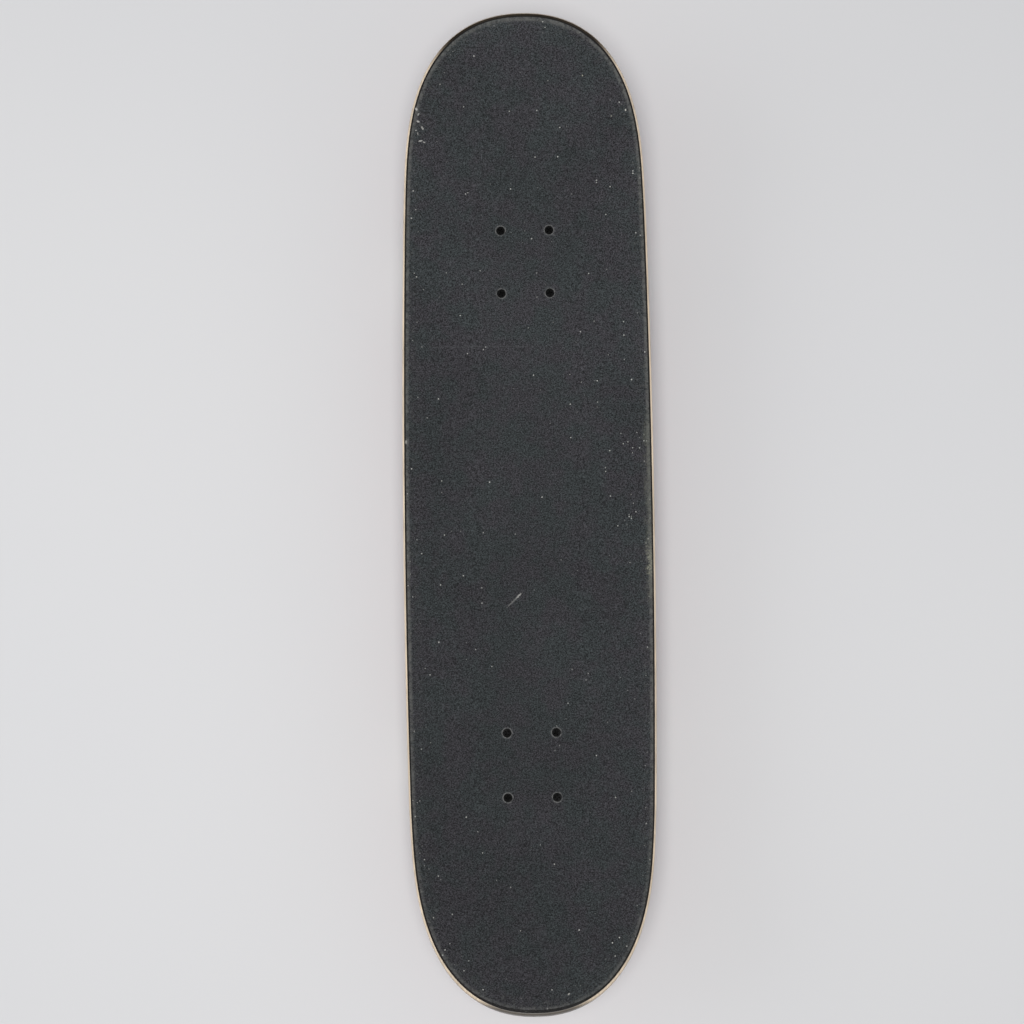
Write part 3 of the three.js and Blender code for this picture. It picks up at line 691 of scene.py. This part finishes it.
def deck_finish(colours, thickness):
    f = Finish("maple_plies", colours.maple, 0.45, Specular_IOR_Level=0.35)
    height, edge, along = f.note("height"), f.note("from_edge"), f.axis("Y")
    stack = f.math("DIVIDE", height, -thickness / 7)
    ply, layer = f.math("FLOOR", stack), f.math("FRACT", stack)
    grain = f.noise(38, 5, 0.6, f.stretched((9, 0.5, 9)), distortion=0.6)
    pores = f.noise(900, 2, 0.5, f.stretched((1, 0.06, 1)))
    long_grain = f.over(f.toned(grain, colours.maple, 0.78, 1.12), shade(colours.maple, 0.5),
                        f.between(pores, 0.5, 0.72, 0.0, 0.35))
    cross = f.toned(f.noise(700, 3, 0.6, f.stretched((1, 1, 0.3))), colours.cross_ply, 0.75, 1.25)
    crossed = f.plus(f.math("COMPARE", ply, 2.0, 0.4), f.math("COMPARE", ply, 4.0, 0.4))
    glue = f.math("MAXIMUM", f.between(layer, 0.07, 0.0), f.between(layer, 0.94, 1.0))
    wood = f.over(f.mixed(crossed, long_grain, cross), shade(colours.cross_ply, 0.45), glue, 0.45)
    veneer = f.over(f.toned(grain, colours.stain, 0.72, 1.25), shade(colours.stain, 0.45),
                    f.between(pores, 0.5, 0.75, 0.0, 0.30))
    wood = f.over(wood, veneer, f.between(height, 1.6 * MM - thickness, 1.4 * MM - thickness))

    under = f.between(height, 0.4 * MM - thickness, 0.2 * MM - thickness)
    streak = f.noise(60, 6, 0.75, f.stretched((0.35, 3.0, 1), (0, 0, 0.12)))
    scraped = f.times(f.between(streak, 0.56, 0.66), f.between(f.math("ABSOLUTE", along), 0.155, 0.09))
    tips = f.times(f.between(f.noise(90, 5, 0.7), 0.46, 0.60), f.between(edge, 0.020, 0.002))
    worn = f.times(f.math("MAXIMUM", scraped, tips), under)
    wood = f.over(wood, long_grain, worn, 0.85)
    wood = f.over(wood, shade(colours.cross_ply, 0.35), f.between(edge, 0.004, 0.0005),
                  f.between(f.noise(130, 5, 0.75, f.stretched((3, 0.35, 1))), 0.60, 0.70, 0.0, 0.6))
    side = f.minus(1.0, under)
    wood = f.over(wood, (0.080, 0.074, 0.068), f.between(along, -0.397, -0.407), side, 0.9)
    # A near-black band along the deck's top edge towards the nose, at three tenths strength at the tail tip,
    # full in the top 0.7 mm and gone by 1.4 mm down; it lowers the specular level and raises the roughness
    # there, and the nose's sides are darkened a little too
    nose_dark_band = f.between(along, 0.366, 0.392)
    dark_top_band = f.times(f.math("MAXIMUM", nose_dark_band, f.between(along, -0.398, -0.406, 0.0, 0.3)),
                   f.between(height, -0.0014, -0.0007))
    wood = f.over(wood, (0.004, 0.0035, 0.003), dark_top_band, 0.98)
    wood = f.over(wood, (0.045, 0.033, 0.022), nose_dark_band, side, 0.20)
    wood = f.over(wood, (0.16, 0.13, 0.10), f.between(f.noise(22, 4, 0.6), 0.35, 0.7, 0.0, 0.12))
    gloss = f.between(f.plus(f.times(worn, 0.5), grain), 0.3, 1.1, 0.36, 0.68)
    f.set("Specular IOR Level", f.math("MULTIPLY_ADD", dark_top_band, -0.33, 0.35))
    return f.done(wood, f.minus(f.times(pores, -0.4), f.times(worn, 0.5)), 0.25, 0.0003,
                  f.math("MAXIMUM", gloss, f.times(dark_top_band, 0.95)))


def black_steel_finish(colours, name, level, grime_shade):
    f = Finish(name, colours.black_steel, 0.5, Specular_IOR_Level=level)
    wear = f.between(f.noise(900, 4, 0.7), 0.62, 0.78, 0.0, level)
    grime = f.between(f.noise(260, 3, 0.6), 0.3, 0.7)
    return f.done(f.over(f.mixed(grime, colours.black_steel, grime_shade), (0.12, 0.115, 0.105), wear),
                  f.noise(1800, 3, 0.6), 0.12, 0.0002, f.between(grime, 0.0, 1.0, 0.40, 0.66))


def aluminium_finish(colours, name):
    f = Finish(name, colours.aluminium, 0.36, 1.0)
    grain = f.noise(1300, 4, 0.65)
    base = f.toned(f.noise(70, 4, 0.6), colours.aluminium, 0.80, 1.12)
    along = f.noise(700, 3, 0.6, f.stretched((0.04, 1.0, 1.0)))
    ground = f.times(f.between(f.noise(45, 4, 0.7), 0.30, 0.52), f.between(f.axis("Z"), 0.021, 0.016))
    base = f.over(base, shade(colours.aluminium, 1.35), ground, f.between(along, 0.3, 0.7, 0.35, 1.0))
    crevice = f.add("NewGeometry", out="Pointiness")
    dirt = f.times(f.between(crevice, 0.50, 0.44), f.between(f.noise(180, 4, 0.6), 0.3, 0.7))
    return f.done(f.over(base, (0.09, 0.085, 0.078), dirt, 0.7),
                  f.plus(f.times(grain, 0.7), f.times(along, ground, 1.5)), 0.30, 0.0004,
                  f.plus(f.between(grain, 0.3, 0.7, 0.28, 0.46), f.times(dirt, 0.25)))


def zinc_finish(colours, name, nylon=None):
    """Zinc plate. On a lock nut, the ring between two radii past a height is nylon."""
    f = Finish(name, colours.zinc, 0.3, 1.0)
    cloud = f.noise(240, 4, 0.6)
    rust = f.between(f.noise(520, 5, 0.7), 0.60, 0.70, 0.0, 0.55)
    base = f.over(f.toned(cloud, colours.zinc, 0.78, 1.08), (0.20, 0.12, 0.07), rust)
    metal = f.minus(1.0, f.times(rust, 0.8))
    if nylon:
        inner, outer, past = nylon
        radius, height = f.note("from_axis"), f.math("ABSOLUTE", f.note("along_axis"))
        insert = f.times(f.between(radius, inner, inner + 5e-5), f.between(radius, outer + 5e-5, outer),
                         f.between(height, past, past + 5e-5))
        base = f.over(base, (0.60, 0.61, 0.60), insert)
        metal = f.times(metal, f.minus(1.0, insert))
    f.set("Metallic", metal)
    return f.done(base, f.noise(1600, 3, 0.6), 0.12, 0.0002, f.between(cloud, 0.3, 0.7, 0.24, 0.42))


def bearing_finish(colours):
    f = Finish("bearing_race", colours.bearing, 0.22, 1.0)
    radius = f.note("from_axis")
    shield = f.times(f.between(radius, 0.00622, 0.00626), f.between(radius, 0.00939, 0.00935))
    cloud = f.noise(420, 4, 0.6)
    cover = f.over(colours.shield, (0.10, 0.09, 0.075), f.between(f.noise(650, 4, 0.7), 0.45, 0.7, 0.0, 0.5))
    f.set("Metallic", f.minus(1.0, f.times(shield, 0.95)))
    return f.done(f.mixed(shield, f.toned(cloud, colours.bearing, 0.72, 1.0, 0.35), cover),
                  f.noise(1500, 2, 0.5), 0.08, 0.0002,
                  f.math("MULTIPLY_ADD", shield, 0.25, f.between(cloud, 0.3, 0.7, 0.18, 0.34)))


def urethane_finish(name, base, dirt, roughness, soft=0.0):
    f = Finish(name, base, roughness, Subsurface_Weight=soft, Subsurface_Scale=0.002)
    cloud = f.noise(85, 4, 0.6)
    grime = f.between(f.noise(340, 5, 0.7), 0.52, 0.70, 0.0, 0.55)
    return f.done(f.over(f.toned(cloud, base, 0.86, 1.08), dirt, grime), f.noise(1100, 3, 0.6), 0.10, 0.0003,
                  f.between(cloud, 0.3, 0.7, roughness - 0.08, roughness + 0.12))


def wheel_finish(colours):
    f = Finish("wheel_urethane", colours.wheel, 0.44, Subsurface_Weight=0.12, Subsurface_Scale=0.002)
    radius, height = f.note("from_axis"), f.math("ABSOLUTE", f.note("along_axis"))
    cloud = f.noise(60, 4, 0.6)
    tread = f.times(f.between(radius, 0.0242, 0.0258), f.between(f.noise(300, 5, 0.7), 0.25, 0.6, 0.45, 1.0))
    tone = f.over(f.toned(cloud, colours.wheel, 0.90, 1.05), colours.tread_dirt, tread, 0.85)
    tone = f.over(tone, shade(colours.tread_dirt, 0.8), f.between(radius, 0.012, 0.026, 0.35, 1.0),
                  f.between(f.noise(150, 6, 0.75), 0.50, 0.66, 0.0, 0.55))
    tone = f.over(tone, (0.10, 0.09, 0.08), f.between(radius, 0.0118, 0.0132, 0.6, 0.0),
                  f.between(height, 0.0110, 0.0125))
    return f.done(tone, f.times(f.noise(900, 4, 0.65), f.math("MULTIPLY_ADD", tread, 1.0, 0.15)), 0.25, 0.0004,
                  f.math("MULTIPLY_ADD", tread, 0.28, f.between(cloud, 0.3, 0.7, 0.36, 0.50)))


# ---- Truck shapes, in the truck's own frame and in mm -------------------------------------------

LEAN = math.radians(22)
RING = Vector((0, -26, -33))
PIVOT = Vector((0, 26, -11))
AXLE = Vector((0, 0, -53))
ARM = (AXLE - PIVOT + Vector((0, 0, 4.75))).normalized()


def standing(point, direction):
    """Stands a shape made round Z at a point in mm, along a direction in the truck's middle plane."""
    turn = Matrix.Rotation(math.atan2(-direction.y, direction.z), 4, "X")
    return Matrix.Translation(point * MM) @ turn


ON_KINGPIN = standing(RING, Vector((0, math.sin(LEAN), math.cos(LEAN))))
ON_PIVOT = standing(PIVOT, ARM)
ON_AXLE = Matrix.Translation(AXLE * MM) @ Matrix.Rotation(math.pi / 2, 4, "Y")
SIDE_ON = Matrix(((0, 0, 1, 0), (1, 0, 0, 0), (0, 1, 0, 0), (0, 0, 0, 1)))


def ring_plane(out, up):
    """A point of the middle plane: along the yoke from the ring, and up the kingpin."""
    return (RING.y + out * math.cos(LEAN) + up * math.sin(LEAN),
            RING.z - out * math.sin(LEAN) + up * math.cos(LEAN))


def cast(shape, voxel=0.0007, smoothing=9):
    """Melts overlapping shapes into one casting with filleted corners."""
    whole = through_modifier(shape, "REMESH", mode="VOXEL", voxel_size=voxel)
    return through_modifier(whole, "SMOOTH", factor=0.5, iterations=smoothing)


def baseplate_shape():
    plate = slab(rounded([(-28.5, -39, 8), (28.5, -39, 8), (28.5, 43, 8), (-28.5, 43, 8)], 8), -6, 0)
    pad = slab(rounded([(-26.5, -37, 7), (26.5, -37, 7), (26.5, 41, 7), (-26.5, 41, 7)], 8), -5, -0.5)
    kingpin_boss = moved(rod(13.4, 19.9, 32.2, 64), ON_KINGPIN)
    pivot_boss = moved(solid([(0, -12.4), (11.0, -12.4), (12.4, -9), (12.4, 5), (0, 5)], 64), ON_PIVOT)
    rib = moved(slab([(35, 0), (-31, 0), ring_plane(6.7, 20.2), (21, -11.3)], -6, 6), SIDE_ON)
    body = cast(joined(plate, pad, kingpin_boss, pivot_boss, rib))
    body = combined(body, block((-60, -60, 0), (60, 60, 40)))
    cup = [(0, -8.5), (4.5, -7.5), (7.4, -4.2), (8.45, 0), (8.45, 12), (0, 12)]
    body = combined(body, moved(solid(cup, 48), ON_PIVOT))
    pin = [(0, 0), (5.1, 0), (5.1, 25.9), (7.7, 25.9), (7.7, 60), (0, 60)]
    body = combined(body, moved(solid(pin, 48), ON_KINGPIN))
    hole = rod(2.65, -20, 10, 24)
    holes = [moved(hole.copy(), Matrix.Translation((x * HALF_PATTERN.x, y * HALF_PATTERN.y, 0)))
             for x in (-1, 1) for y in (-1, 1)]
    return combined(body, joined(*holes))


def hanger_shape():
    half = 69
    beam = rounded([(0, -half, 0), (7.4, -half, 0.6), (9.5, -half + 4.75, 1.5), (9.5, -40, 6), (10.6, 0, 20),
                    (9.5, 40, 6), (9.5, half - 4.75, 1.5), (7.4, half, 0.6), (0, half, 0)], 5, closed=False)
    beam = moved(solid(beam, 72), ON_AXLE)
    reach = 26 / math.cos(LEAN)
    arc = [(17 * math.cos(t), 17 * math.sin(t)) for t in (math.pi + math.pi * k / 32 for k in range(33))]
    web = slab([(40, reach), (-40, reach), (-40, reach - 4.75)] + arc + [(40, reach - 4.75)], -4.5, 4.5)
    yoke = moved(joined(web, rod(17, -4.5, 4.5, 72)), ON_KINGPIN)
    gusset = [(0, -53), ring_plane(17, 0), ring_plane(12.5, -4.5), (-4.75, -60.6)]
    gusset = moved(slab(gusset, -4.5, 4.5), SIDE_ON)
    long = (AXLE - PIVOT).length
    arm = block((-22, -8.5, 7.5), (22, 8.5, long))
    neck = [v for v in arm.verts if v.co.z < 8 * MM]
    bmesh.ops.scale(arm, vec=(5.3 / 22, 5.3 / 8.5, 1), verts=neck)
    arm = moved(arm, ON_PIVOT)
    nose = solid(bowl(6.2, 8) + [(5.9, 1.0), (5.3, 2.5), (5.3, 10), (0, 10)], 48)
    body = cast(joined(beam, yoke, gusset, arm, moved(nose, ON_PIVOT)))
    seats = [(0, -17), (8, -17), (8, -5.2), (12.3, -5.2), (12.3, -3), (8, -3), (8, 3), (12.3, 3), (12.3, 5.2),
             (8, 5.2), (8, 17), (0, 17)]
    return combined(body, moved(solid(seats, 64), ON_KINGPIN))


def kingpin_shape(sizes):
    radius = sizes.kingpin / 2 / MM
    pitch = sizes.thread_pitch / MM
    screw = thread(radius, -24.9, -12, pitch)
    top = screw[-1][1]
    profile = [(0, -25.4), (radius - 0.9, -25.4), (radius - 0.35, -24.9)] + screw[1:]
    profile += [(radius, top + 0.4), (radius, 27), (0, 27)]
    return joined(solid(profile, 40), hexagon(12.7, 26.2, 31.7))


def cup_washer(outer, seat, lip, shoulder, back):
    """A pressed washer whose lip holds the end of a bushing."""
    return turned(rounded([(5.05, seat, 0.2), (outer - 0.9, seat, 0.3), (outer - 0.65, lip, 0.2),
                           (outer, lip, 0.2), (outer, shoulder, 0.9), (outer - 0.8, back, 0.4),
                           (5.05, back, 0.2)]), 64)


def axle_shape(sizes):
    radius = sizes.axle / 2 / MM
    pitch = sizes.thread_pitch / MM
    screw = thread(radius, 93.0, 100.9, pitch, 0.3)
    end = screw[-1][1]
    upper = [(radius, 92.6)] + screw + [(radius - 0.3, end), (radius - 0.7, 101.5), (0, 101.5)]
    return solid([(r, -h) for r, h in reversed(upper)] + upper, 40)


# ---- Operators ----------------------------------------------------------------------------------

class SKATE_OT_deck(bpy.types.Operator):
    """Press the seven-ply maple deck"""
    bl_idname = "skate.deck"
    bl_label = "Deck"

    def execute(self, context):
        scene = context.scene
        sizes = scene.deck_sizes
        board = Board(sizes)
        bm = board.slab(-sizes.thickness, 0, sizes.bottom_rail, sizes.top_rail)
        bm = board.cut_holes(bm, [(0, -20), (2.6, -20), (2.6, -1.7), (4.75, 0.45), (4.75, 3), (0, 3)])
        board.pressed(board.edge_distances(bm))
        finish = deck_finish(scene.board_colours, sizes.thickness)
        finish_piece("maple_deck", bm, finish, "deck", "deck")
        return {"FINISHED"}


class SKATE_OT_grip(bpy.types.Operator):
    """Lay the grip tape and file it to the deck's edge"""
    bl_idname = "skate.grip"
    bl_label = "Grip tape"

    def execute(self, context):
        scene = context.scene
        sizes = scene.deck_sizes
        board = Board(sizes)
        bm = board.slab(GAP, GAP + sizes.grip_thickness, 0.1 * MM, 0.35 * MM, sizes.grip_inset)
        bm = board.cut_holes(bm, [(0, -5), (3.6, -5), (3.6, 0.5), (3.95, 0.95), (3.95, 5), (0, 5)])
        board.pressed(board.edge_distances(bm))
        finish_piece("grip_sheet", bm, grip_finish(scene.board_colours), "deck", "grip_tape")
        return {"FINISHED"}


class SKATE_OT_deck_hardware(bpy.types.Operator):
    """Fit the eight deck bolts and their nuts"""
    bl_idname = "skate.deck_hardware"
    bl_label = "Deck bolts and nuts"

    def execute(self, context):
        scene = context.scene
        sizes, colours = scene.hardware_sizes, scene.board_colours
        dull = black_steel_finish(colours, "black_bolt_heads", 0.03, (0.004, 0.004, 0.0038))
        black = black_steel_finish(colours, "black_lock_nuts", 0.45, (0.030, 0.029, 0.027))
        head, shank = sizes.bolt_head / 2 / MM, sizes.bolt_shank / 2 / MM
        screw = thread(shank, -25.0, -20, 0.8, 0.3)
        profile = [(0, -25.4), (shank - 0.6, -25.4)] + screw + [(shank, screw[-1][1] + 0.3), (shank, -2.7)]
        bolt = solid(profile + [(head, -0.5), (head, -0.2), (head - 0.2, 0), (0, 0)], 40)
        for half_x, half_y, taper in ((2.5, 0.55, (0.55, 0.7, 1)), (0.55, 2.5, (0.7, 0.55, 1))):
            slot = block((-half_x, -half_y, -1.7), (half_x, half_y, 0.5))
            bmesh.ops.scale(slot, vec=taper, verts=[v for v in slot.verts if v.co.z < -MM])
            bolt = combined(bolt, slot)
        nut = lock_nut(sizes.deck_nut / MM, shank - 0.05, 0, 3.5, 5.2)
        for i, (name, top) in enumerate(bolt_tops()):
            turn = Matrix.Rotation(0.7 * i + 0.4, 4, "Z")
            sunk = Matrix.Translation((top.x, top.y, top.z - BOLT_SINK)) @ turn
            stand_in(name, "screw", noted(bolt, sunk), dull, "deck")
            name = name.replace("bolt", "nut")
            seat = Matrix.Translation((top.x, top.y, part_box(name)[1].z))
            stand_in(name, "lock", noted(nut, seat @ FLIP @ turn), black, "deck")
        return {"FINISHED"}


class SKATE_OT_baseplates(bpy.types.Operator):
    """Cast the two baseplates"""
    bl_idname = "skate.baseplates"
    bl_label = "Baseplates"

    def execute(self, context):
        scene = context.scene
        metal = aluminium_finish(scene.board_colours, "tumbled_aluminium")
        shape = baseplate_shape()
        for end in ENDS:
            placed = moved(shape.copy(), truck_place(end))
            stand_in(f"{end}_baseplate", "casting", placed, metal, "deck")
        return {"FINISHED"}


class SKATE_OT_kingpins(bpy.types.Operator):
    """Fit the kingpins with their washers and nuts"""
    bl_idname = "skate.kingpins"
    bl_label = "Kingpins"

    def execute(self, context):
        scene = context.scene
        sizes, colours = scene.hardware_sizes, scene.board_colours
        zinc = zinc_finish(colours, "zinc_plate")
        flats = sizes.kingpin_nut / MM
        collar = zinc_finish(colours, "zinc_kingpin_nut", (0.0046, nylon_reach(flats), 0.0226))
        nut = lock_nut(flats, 4.6, 16.2, 21.2, 23.5)
        pieces = (("kingpin", kingpin_shape(sizes), zinc), ("kingpin_nut", moved(nut, FLIP), collar),
                  ("board_side_washer", cup_washer(12.8, 18.05, 17.0, 18.9, 19.6), zinc),
                  ("road_side_washer", cup_washer(10.6, -14.35, -13.4, -15.3, -15.9), zinc))
        for end in ENDS:
            for name, shape, finish in pieces:
                placed = noted(shape, truck_place(end) @ ON_KINGPIN)
                stand_in(f"{end}_{name}", "steel", placed, finish, "deck")
        return {"FINISHED"}


class SKATE_OT_bushings(bpy.types.Operator):
    """Cast the bushings, which ride on no body, and the pivot cups"""
    bl_idname = "skate.bushings"
    bl_label = "Bushings and pivot cups"

    def execute(self, context):
        scene = context.scene
        colours = scene.board_colours
        rubber = urethane_finish("bushing_urethane", colours.bushing, (0.10, 0.05, 0.04), 0.38, 0.1)
        cup_rubber = urethane_finish("cup_urethane", colours.cup, (0.06, 0.055, 0.05), 0.55)
        barrel = rounded([(5.05, 3.3, 0.4), (11.6, 3.3, 1.2), (12, 7, 3), (11.6, 10.5, 3), (12, 14, 3),
                          (11.6, 17.7, 1.2), (5.05, 17.7, 0.4)], 6)
        cone = rounded([(5.05, -14.0, 0.4), (8.6, -14.0, 1.2), (11.8, -6.5, 2.5), (11.8, -3.3, 1.0),
                        (5.05, -3.3, 0.4)], 6)
        cup = bowl(8.3, 10) + [(8.3, 4.2), (7.9, 4.7), (6.9, 4.7), (6.5, 4.2)] + bowl(6.5, 10)[::-1]
        for end in ENDS:
            place = truck_place(end) @ ON_KINGPIN
            for name, profile, still, moving in (("board_side_bushing", barrel, 17.0, 4.0),
                                                 ("road_side_bushing", cone, -13.4, -4.0)):
                bm = turned(profile, 64)
                upright = [e for e in bm.edges if abs((e.verts[0].co - e.verts[1].co).z) > 1.2 * MM]
                bmesh.ops.subdivide_edges(bm, edges=upright, cuts=3)
                piece = stand_in(f"{end}_{name}", "rubber", noted(bm, place), rubber, None)
                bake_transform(piece)
            placed = noted(solid(cup, 48), truck_place(end) @ ON_PIVOT)
            stand_in(f"{end}_pivot_cup", "rubber", placed, cup_rubber, "deck")
        return {"FINISHED"}


class SKATE_OT_hangers(bpy.types.Operator):
    """Cast the two hangers"""
    bl_idname = "skate.hangers"
    bl_label = "Hangers"

    def execute(self, context):
        scene = context.scene
        metal = aluminium_finish(scene.board_colours, "tumbled_hanger_aluminium")
        shape = hanger_shape()
        for end in ENDS:
            placed = moved(shape.copy(), truck_place(end))
            stand_in(f"{end}_hanger", "casting", placed, metal, f"{end}_hanger")
        return {"FINISHED"}


class SKATE_OT_axles(bpy.types.Operator):
    """Fit the axles with their nuts and speed washers"""
    bl_idname = "skate.axles"
    bl_label = "Axles"

    def execute(self, context):
        scene = context.scene
        sizes, colours = scene.hardware_sizes, scene.board_colours
        zinc = zinc_finish(colours, "zinc_axle")
        flats = sizes.axle_nut / MM
        collar = zinc_finish(colours, "zinc_axle_nut", (0.0039, nylon_reach(flats), 0.1004))
        axle = axle_shape(sizes)
        nut = lock_nut(flats, 3.9, 95.3, 99.5, 101.3)
        washers = {"inner": (69.15, 70.0), "outer": (94.1, 95.1)}
        for end in ENDS:
            body = f"{end}_hanger"
            place = truck_place(end) @ ON_AXLE
            stand_in(f"{end}_axle", "steel", noted(axle, place), zinc, body)
            for hand, side in HANDS.items():
                outwards = place if side * ENDS[end] > 0 else place @ FLIP
                stand_in(f"{end}_{hand}_axle_nut", "steel", noted(nut, outwards), collar, body)
                for name, (low, high) in washers.items():
                    washer = ring(4.1, 6.3, low, high, 0.1, 0.2, 48)
                    finish_piece(f"{end}_{hand}_{name}_speed_washer", noted(washer, outwards), zinc, body)
        return {"FINISHED"}


class SKATE_OT_wheels(bpy.types.Operator):
    """Cast the four wheels and press in their bearings and spacers"""
    bl_idname = "skate.wheels"
    bl_label = "Wheels and bearings"

    def execute(self, context):
        scene = context.scene
        colours = scene.board_colours
        urethane, race = wheel_finish(colours), bearing_finish(colours)
        tube = zinc_finish(colours, "zinc_spacer")
        wheel = both_sides([(9.5, 4.7, 0.2), (11.05, 4.7, 0.1), (11.05, 12.0, 0.4), (13.1, 12.0, 1.4),
                            (15.8, 15.5, 1.2), (20.2, 15.5, 2.2), (26, 9, 2.8)], 6, 112)
        bearing = both_sides([(4.05, 3.35, 0.3), (6.0, 3.35, 0.25), (6.2, 2.85, 0.05), (9.4, 2.85, 0.05),
                              (9.6, 3.35, 0.2), (11.0, 3.35, 0.5)], 4, 72)
        spacer = ring(4.1, 5.4, -4.8, 4.8, 0.2, 0.3, 40)
        for name in (f"{end}_{hand}" for end in ENDS for hand in HANDS):
            body = f"{name}_wheel"
            for node, seat, suffix, shape, finish, slot in (
                    (body, body, "urethane", wheel, urethane, "wheel_urethane"),
                    (f"{name}_inner_bearing", None, "races", bearing, race, "bearing_steel"),
                    (f"{name}_outer_bearing", None, "races", bearing, race, "bearing_steel"),
                    (f"{name}_spacer", body, "tube", spacer, tube, "zinc_steel")):
                low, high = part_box(seat or node)
                place = Matrix.Translation((low + high) / 2) @ Matrix.Rotation(math.pi / 2, 4, "Y")
                stand_in(node, suffix, noted(shape, place), finish, body)
        return {"FINISHED"}


class SKATE_OT_stage(bpy.types.Operator):
    """Set the pale floor, the soft lights and the camera"""
    bl_idname = "skate.stage"
    bl_label = "Floor, lights and camera"

    def execute(self, context):
        scene = context.scene
        bm = bmesh.new()
        bmesh.ops.create_grid(bm, x_segments=8, y_segments=8, size=6)
        floor = loose_object("floor", bm)
        paint = Finish("pale_floor", (0.60, 0.60, 0.605), 0.9)
        tone = paint.mixed(paint.noise(1.6, 3, 0.5), (0.585, 0.585, 0.595), (0.615, 0.612, 0.61))
        paint.set("Base Color", tone)
        floor.data.materials.append(paint.material)
        for name, place, size, power, tint in (
                ("overhead", (-0.05, -0.20, 2.3), 0.7, 37, (1.0, 0.995, 0.985)),
                ("left", (-2.4, 0.3, 1.5), 2.2, 19, (0.99, 0.995, 1.0)),
                ("right", (2.4, -0.6, 1.3), 2.2, 4.5, (1.0, 0.99, 0.98))):
            lamp = bpy.data.lights.new(name, "AREA")
            lamp.shape = "DISK"
            lamp.size = size
            lamp.energy = power
            lamp.color = tint
            light = bpy.data.objects.new(name, lamp)
            light.location = place
            light.rotation_euler = (Vector((0, 0, 0.05)) - Vector(place)).to_track_quat("-Z", "Y").to_euler()
            scene.collection.objects.link(light)
        world = bpy.data.worlds.new("studio")
        world.use_nodes = True
        sky = world.node_tree.nodes["Background"].inputs
        sky["Color"].default_value = (0.93, 0.95, 1.0, 1)
        sky["Strength"].default_value = 0.42
        scene.world = world
        scene.view_settings.view_transform = "Standard"
        self.aim_camera(scene)
        return {"FINISHED"}

    def aim_camera(self, scene):
        camera = bpy.data.cameras.new("camera")
        camera.sensor_width = 36
        camera.lens = 66.6
        camera.clip_start, camera.clip_end = 0.05, 50
        eye = bpy.data.objects.new("camera", camera)
        scene.collection.objects.link(eye)
        tilt, roll, left, down = (math.radians(turn) for turn in (3.5, -0.8, 0.504, 0.018))
        forward = Vector((0, math.sin(tilt), -math.cos(tilt)))
        place = BOARD_MIDDLE - forward * CAMERA_DISTANCE
        level, over = Vector((1, 0, 0)), Vector((0, math.cos(tilt), math.sin(tilt)))
        right = level * math.cos(roll) + over * math.sin(roll)
        up = over * math.cos(roll) - level * math.sin(roll)
        aim = (forward - right * math.tan(left) - up * math.tan(down)).normalized()
        side = aim.cross(up).normalized()
        turn = Matrix((side, side.cross(aim), -aim)).transposed()
        eye.matrix_world = Matrix.Translation(place) @ turn.to_4x4()
        scene.camera = eye


class SKATE_PT_panel(bpy.types.Panel):
    """Builds the skateboard piece by piece"""
    bl_idname = "SKATE_PT_panel"
    bl_label = "Skateboard"
    bl_space_type = "VIEW_3D"
    bl_region_type = "UI"
    bl_category = "Skateboard"

    def draw(self, context):
        scene = context.scene
        for group in (scene.deck_sizes, scene.hardware_sizes, scene.board_colours):
            box = self.layout.box()
            for name in group.__annotations__:
                box.prop(group, name)
        for operator in OPERATORS:
            self.layout.operator(operator.bl_idname)


OPERATORS = (
    SKATE_OT_deck,
    SKATE_OT_grip,
    SKATE_OT_deck_hardware,
    SKATE_OT_baseplates,
    SKATE_OT_kingpins,
    SKATE_OT_bushings,
    SKATE_OT_hangers,
    SKATE_OT_axles,
    SKATE_OT_wheels,
    SKATE_OT_stage,
)
GROUPS = {"deck_sizes": DeckSizes, "hardware_sizes": HardwareSizes, "board_colours": BoardColours}


def register():
    for kind in (*GROUPS.values(), *OPERATORS, SKATE_PT_panel):
        bpy.utils.register_class(kind)
    for name, group in GROUPS.items():
        setattr(bpy.types.Scene, name, PointerProperty(type=group))


def unregister():
    for name in GROUPS:
        delattr(bpy.types.Scene, name)
    for kind in reversed((*GROUPS.values(), *OPERATORS, SKATE_PT_panel)):
        bpy.utils.unregister_class(kind)


def main():
    register()
    for operator in OPERATORS:
        group, name = operator.bl_idname.split(".")
        getattr(getattr(bpy.ops, group), name)()


if __name__ == "__main__":
    main()
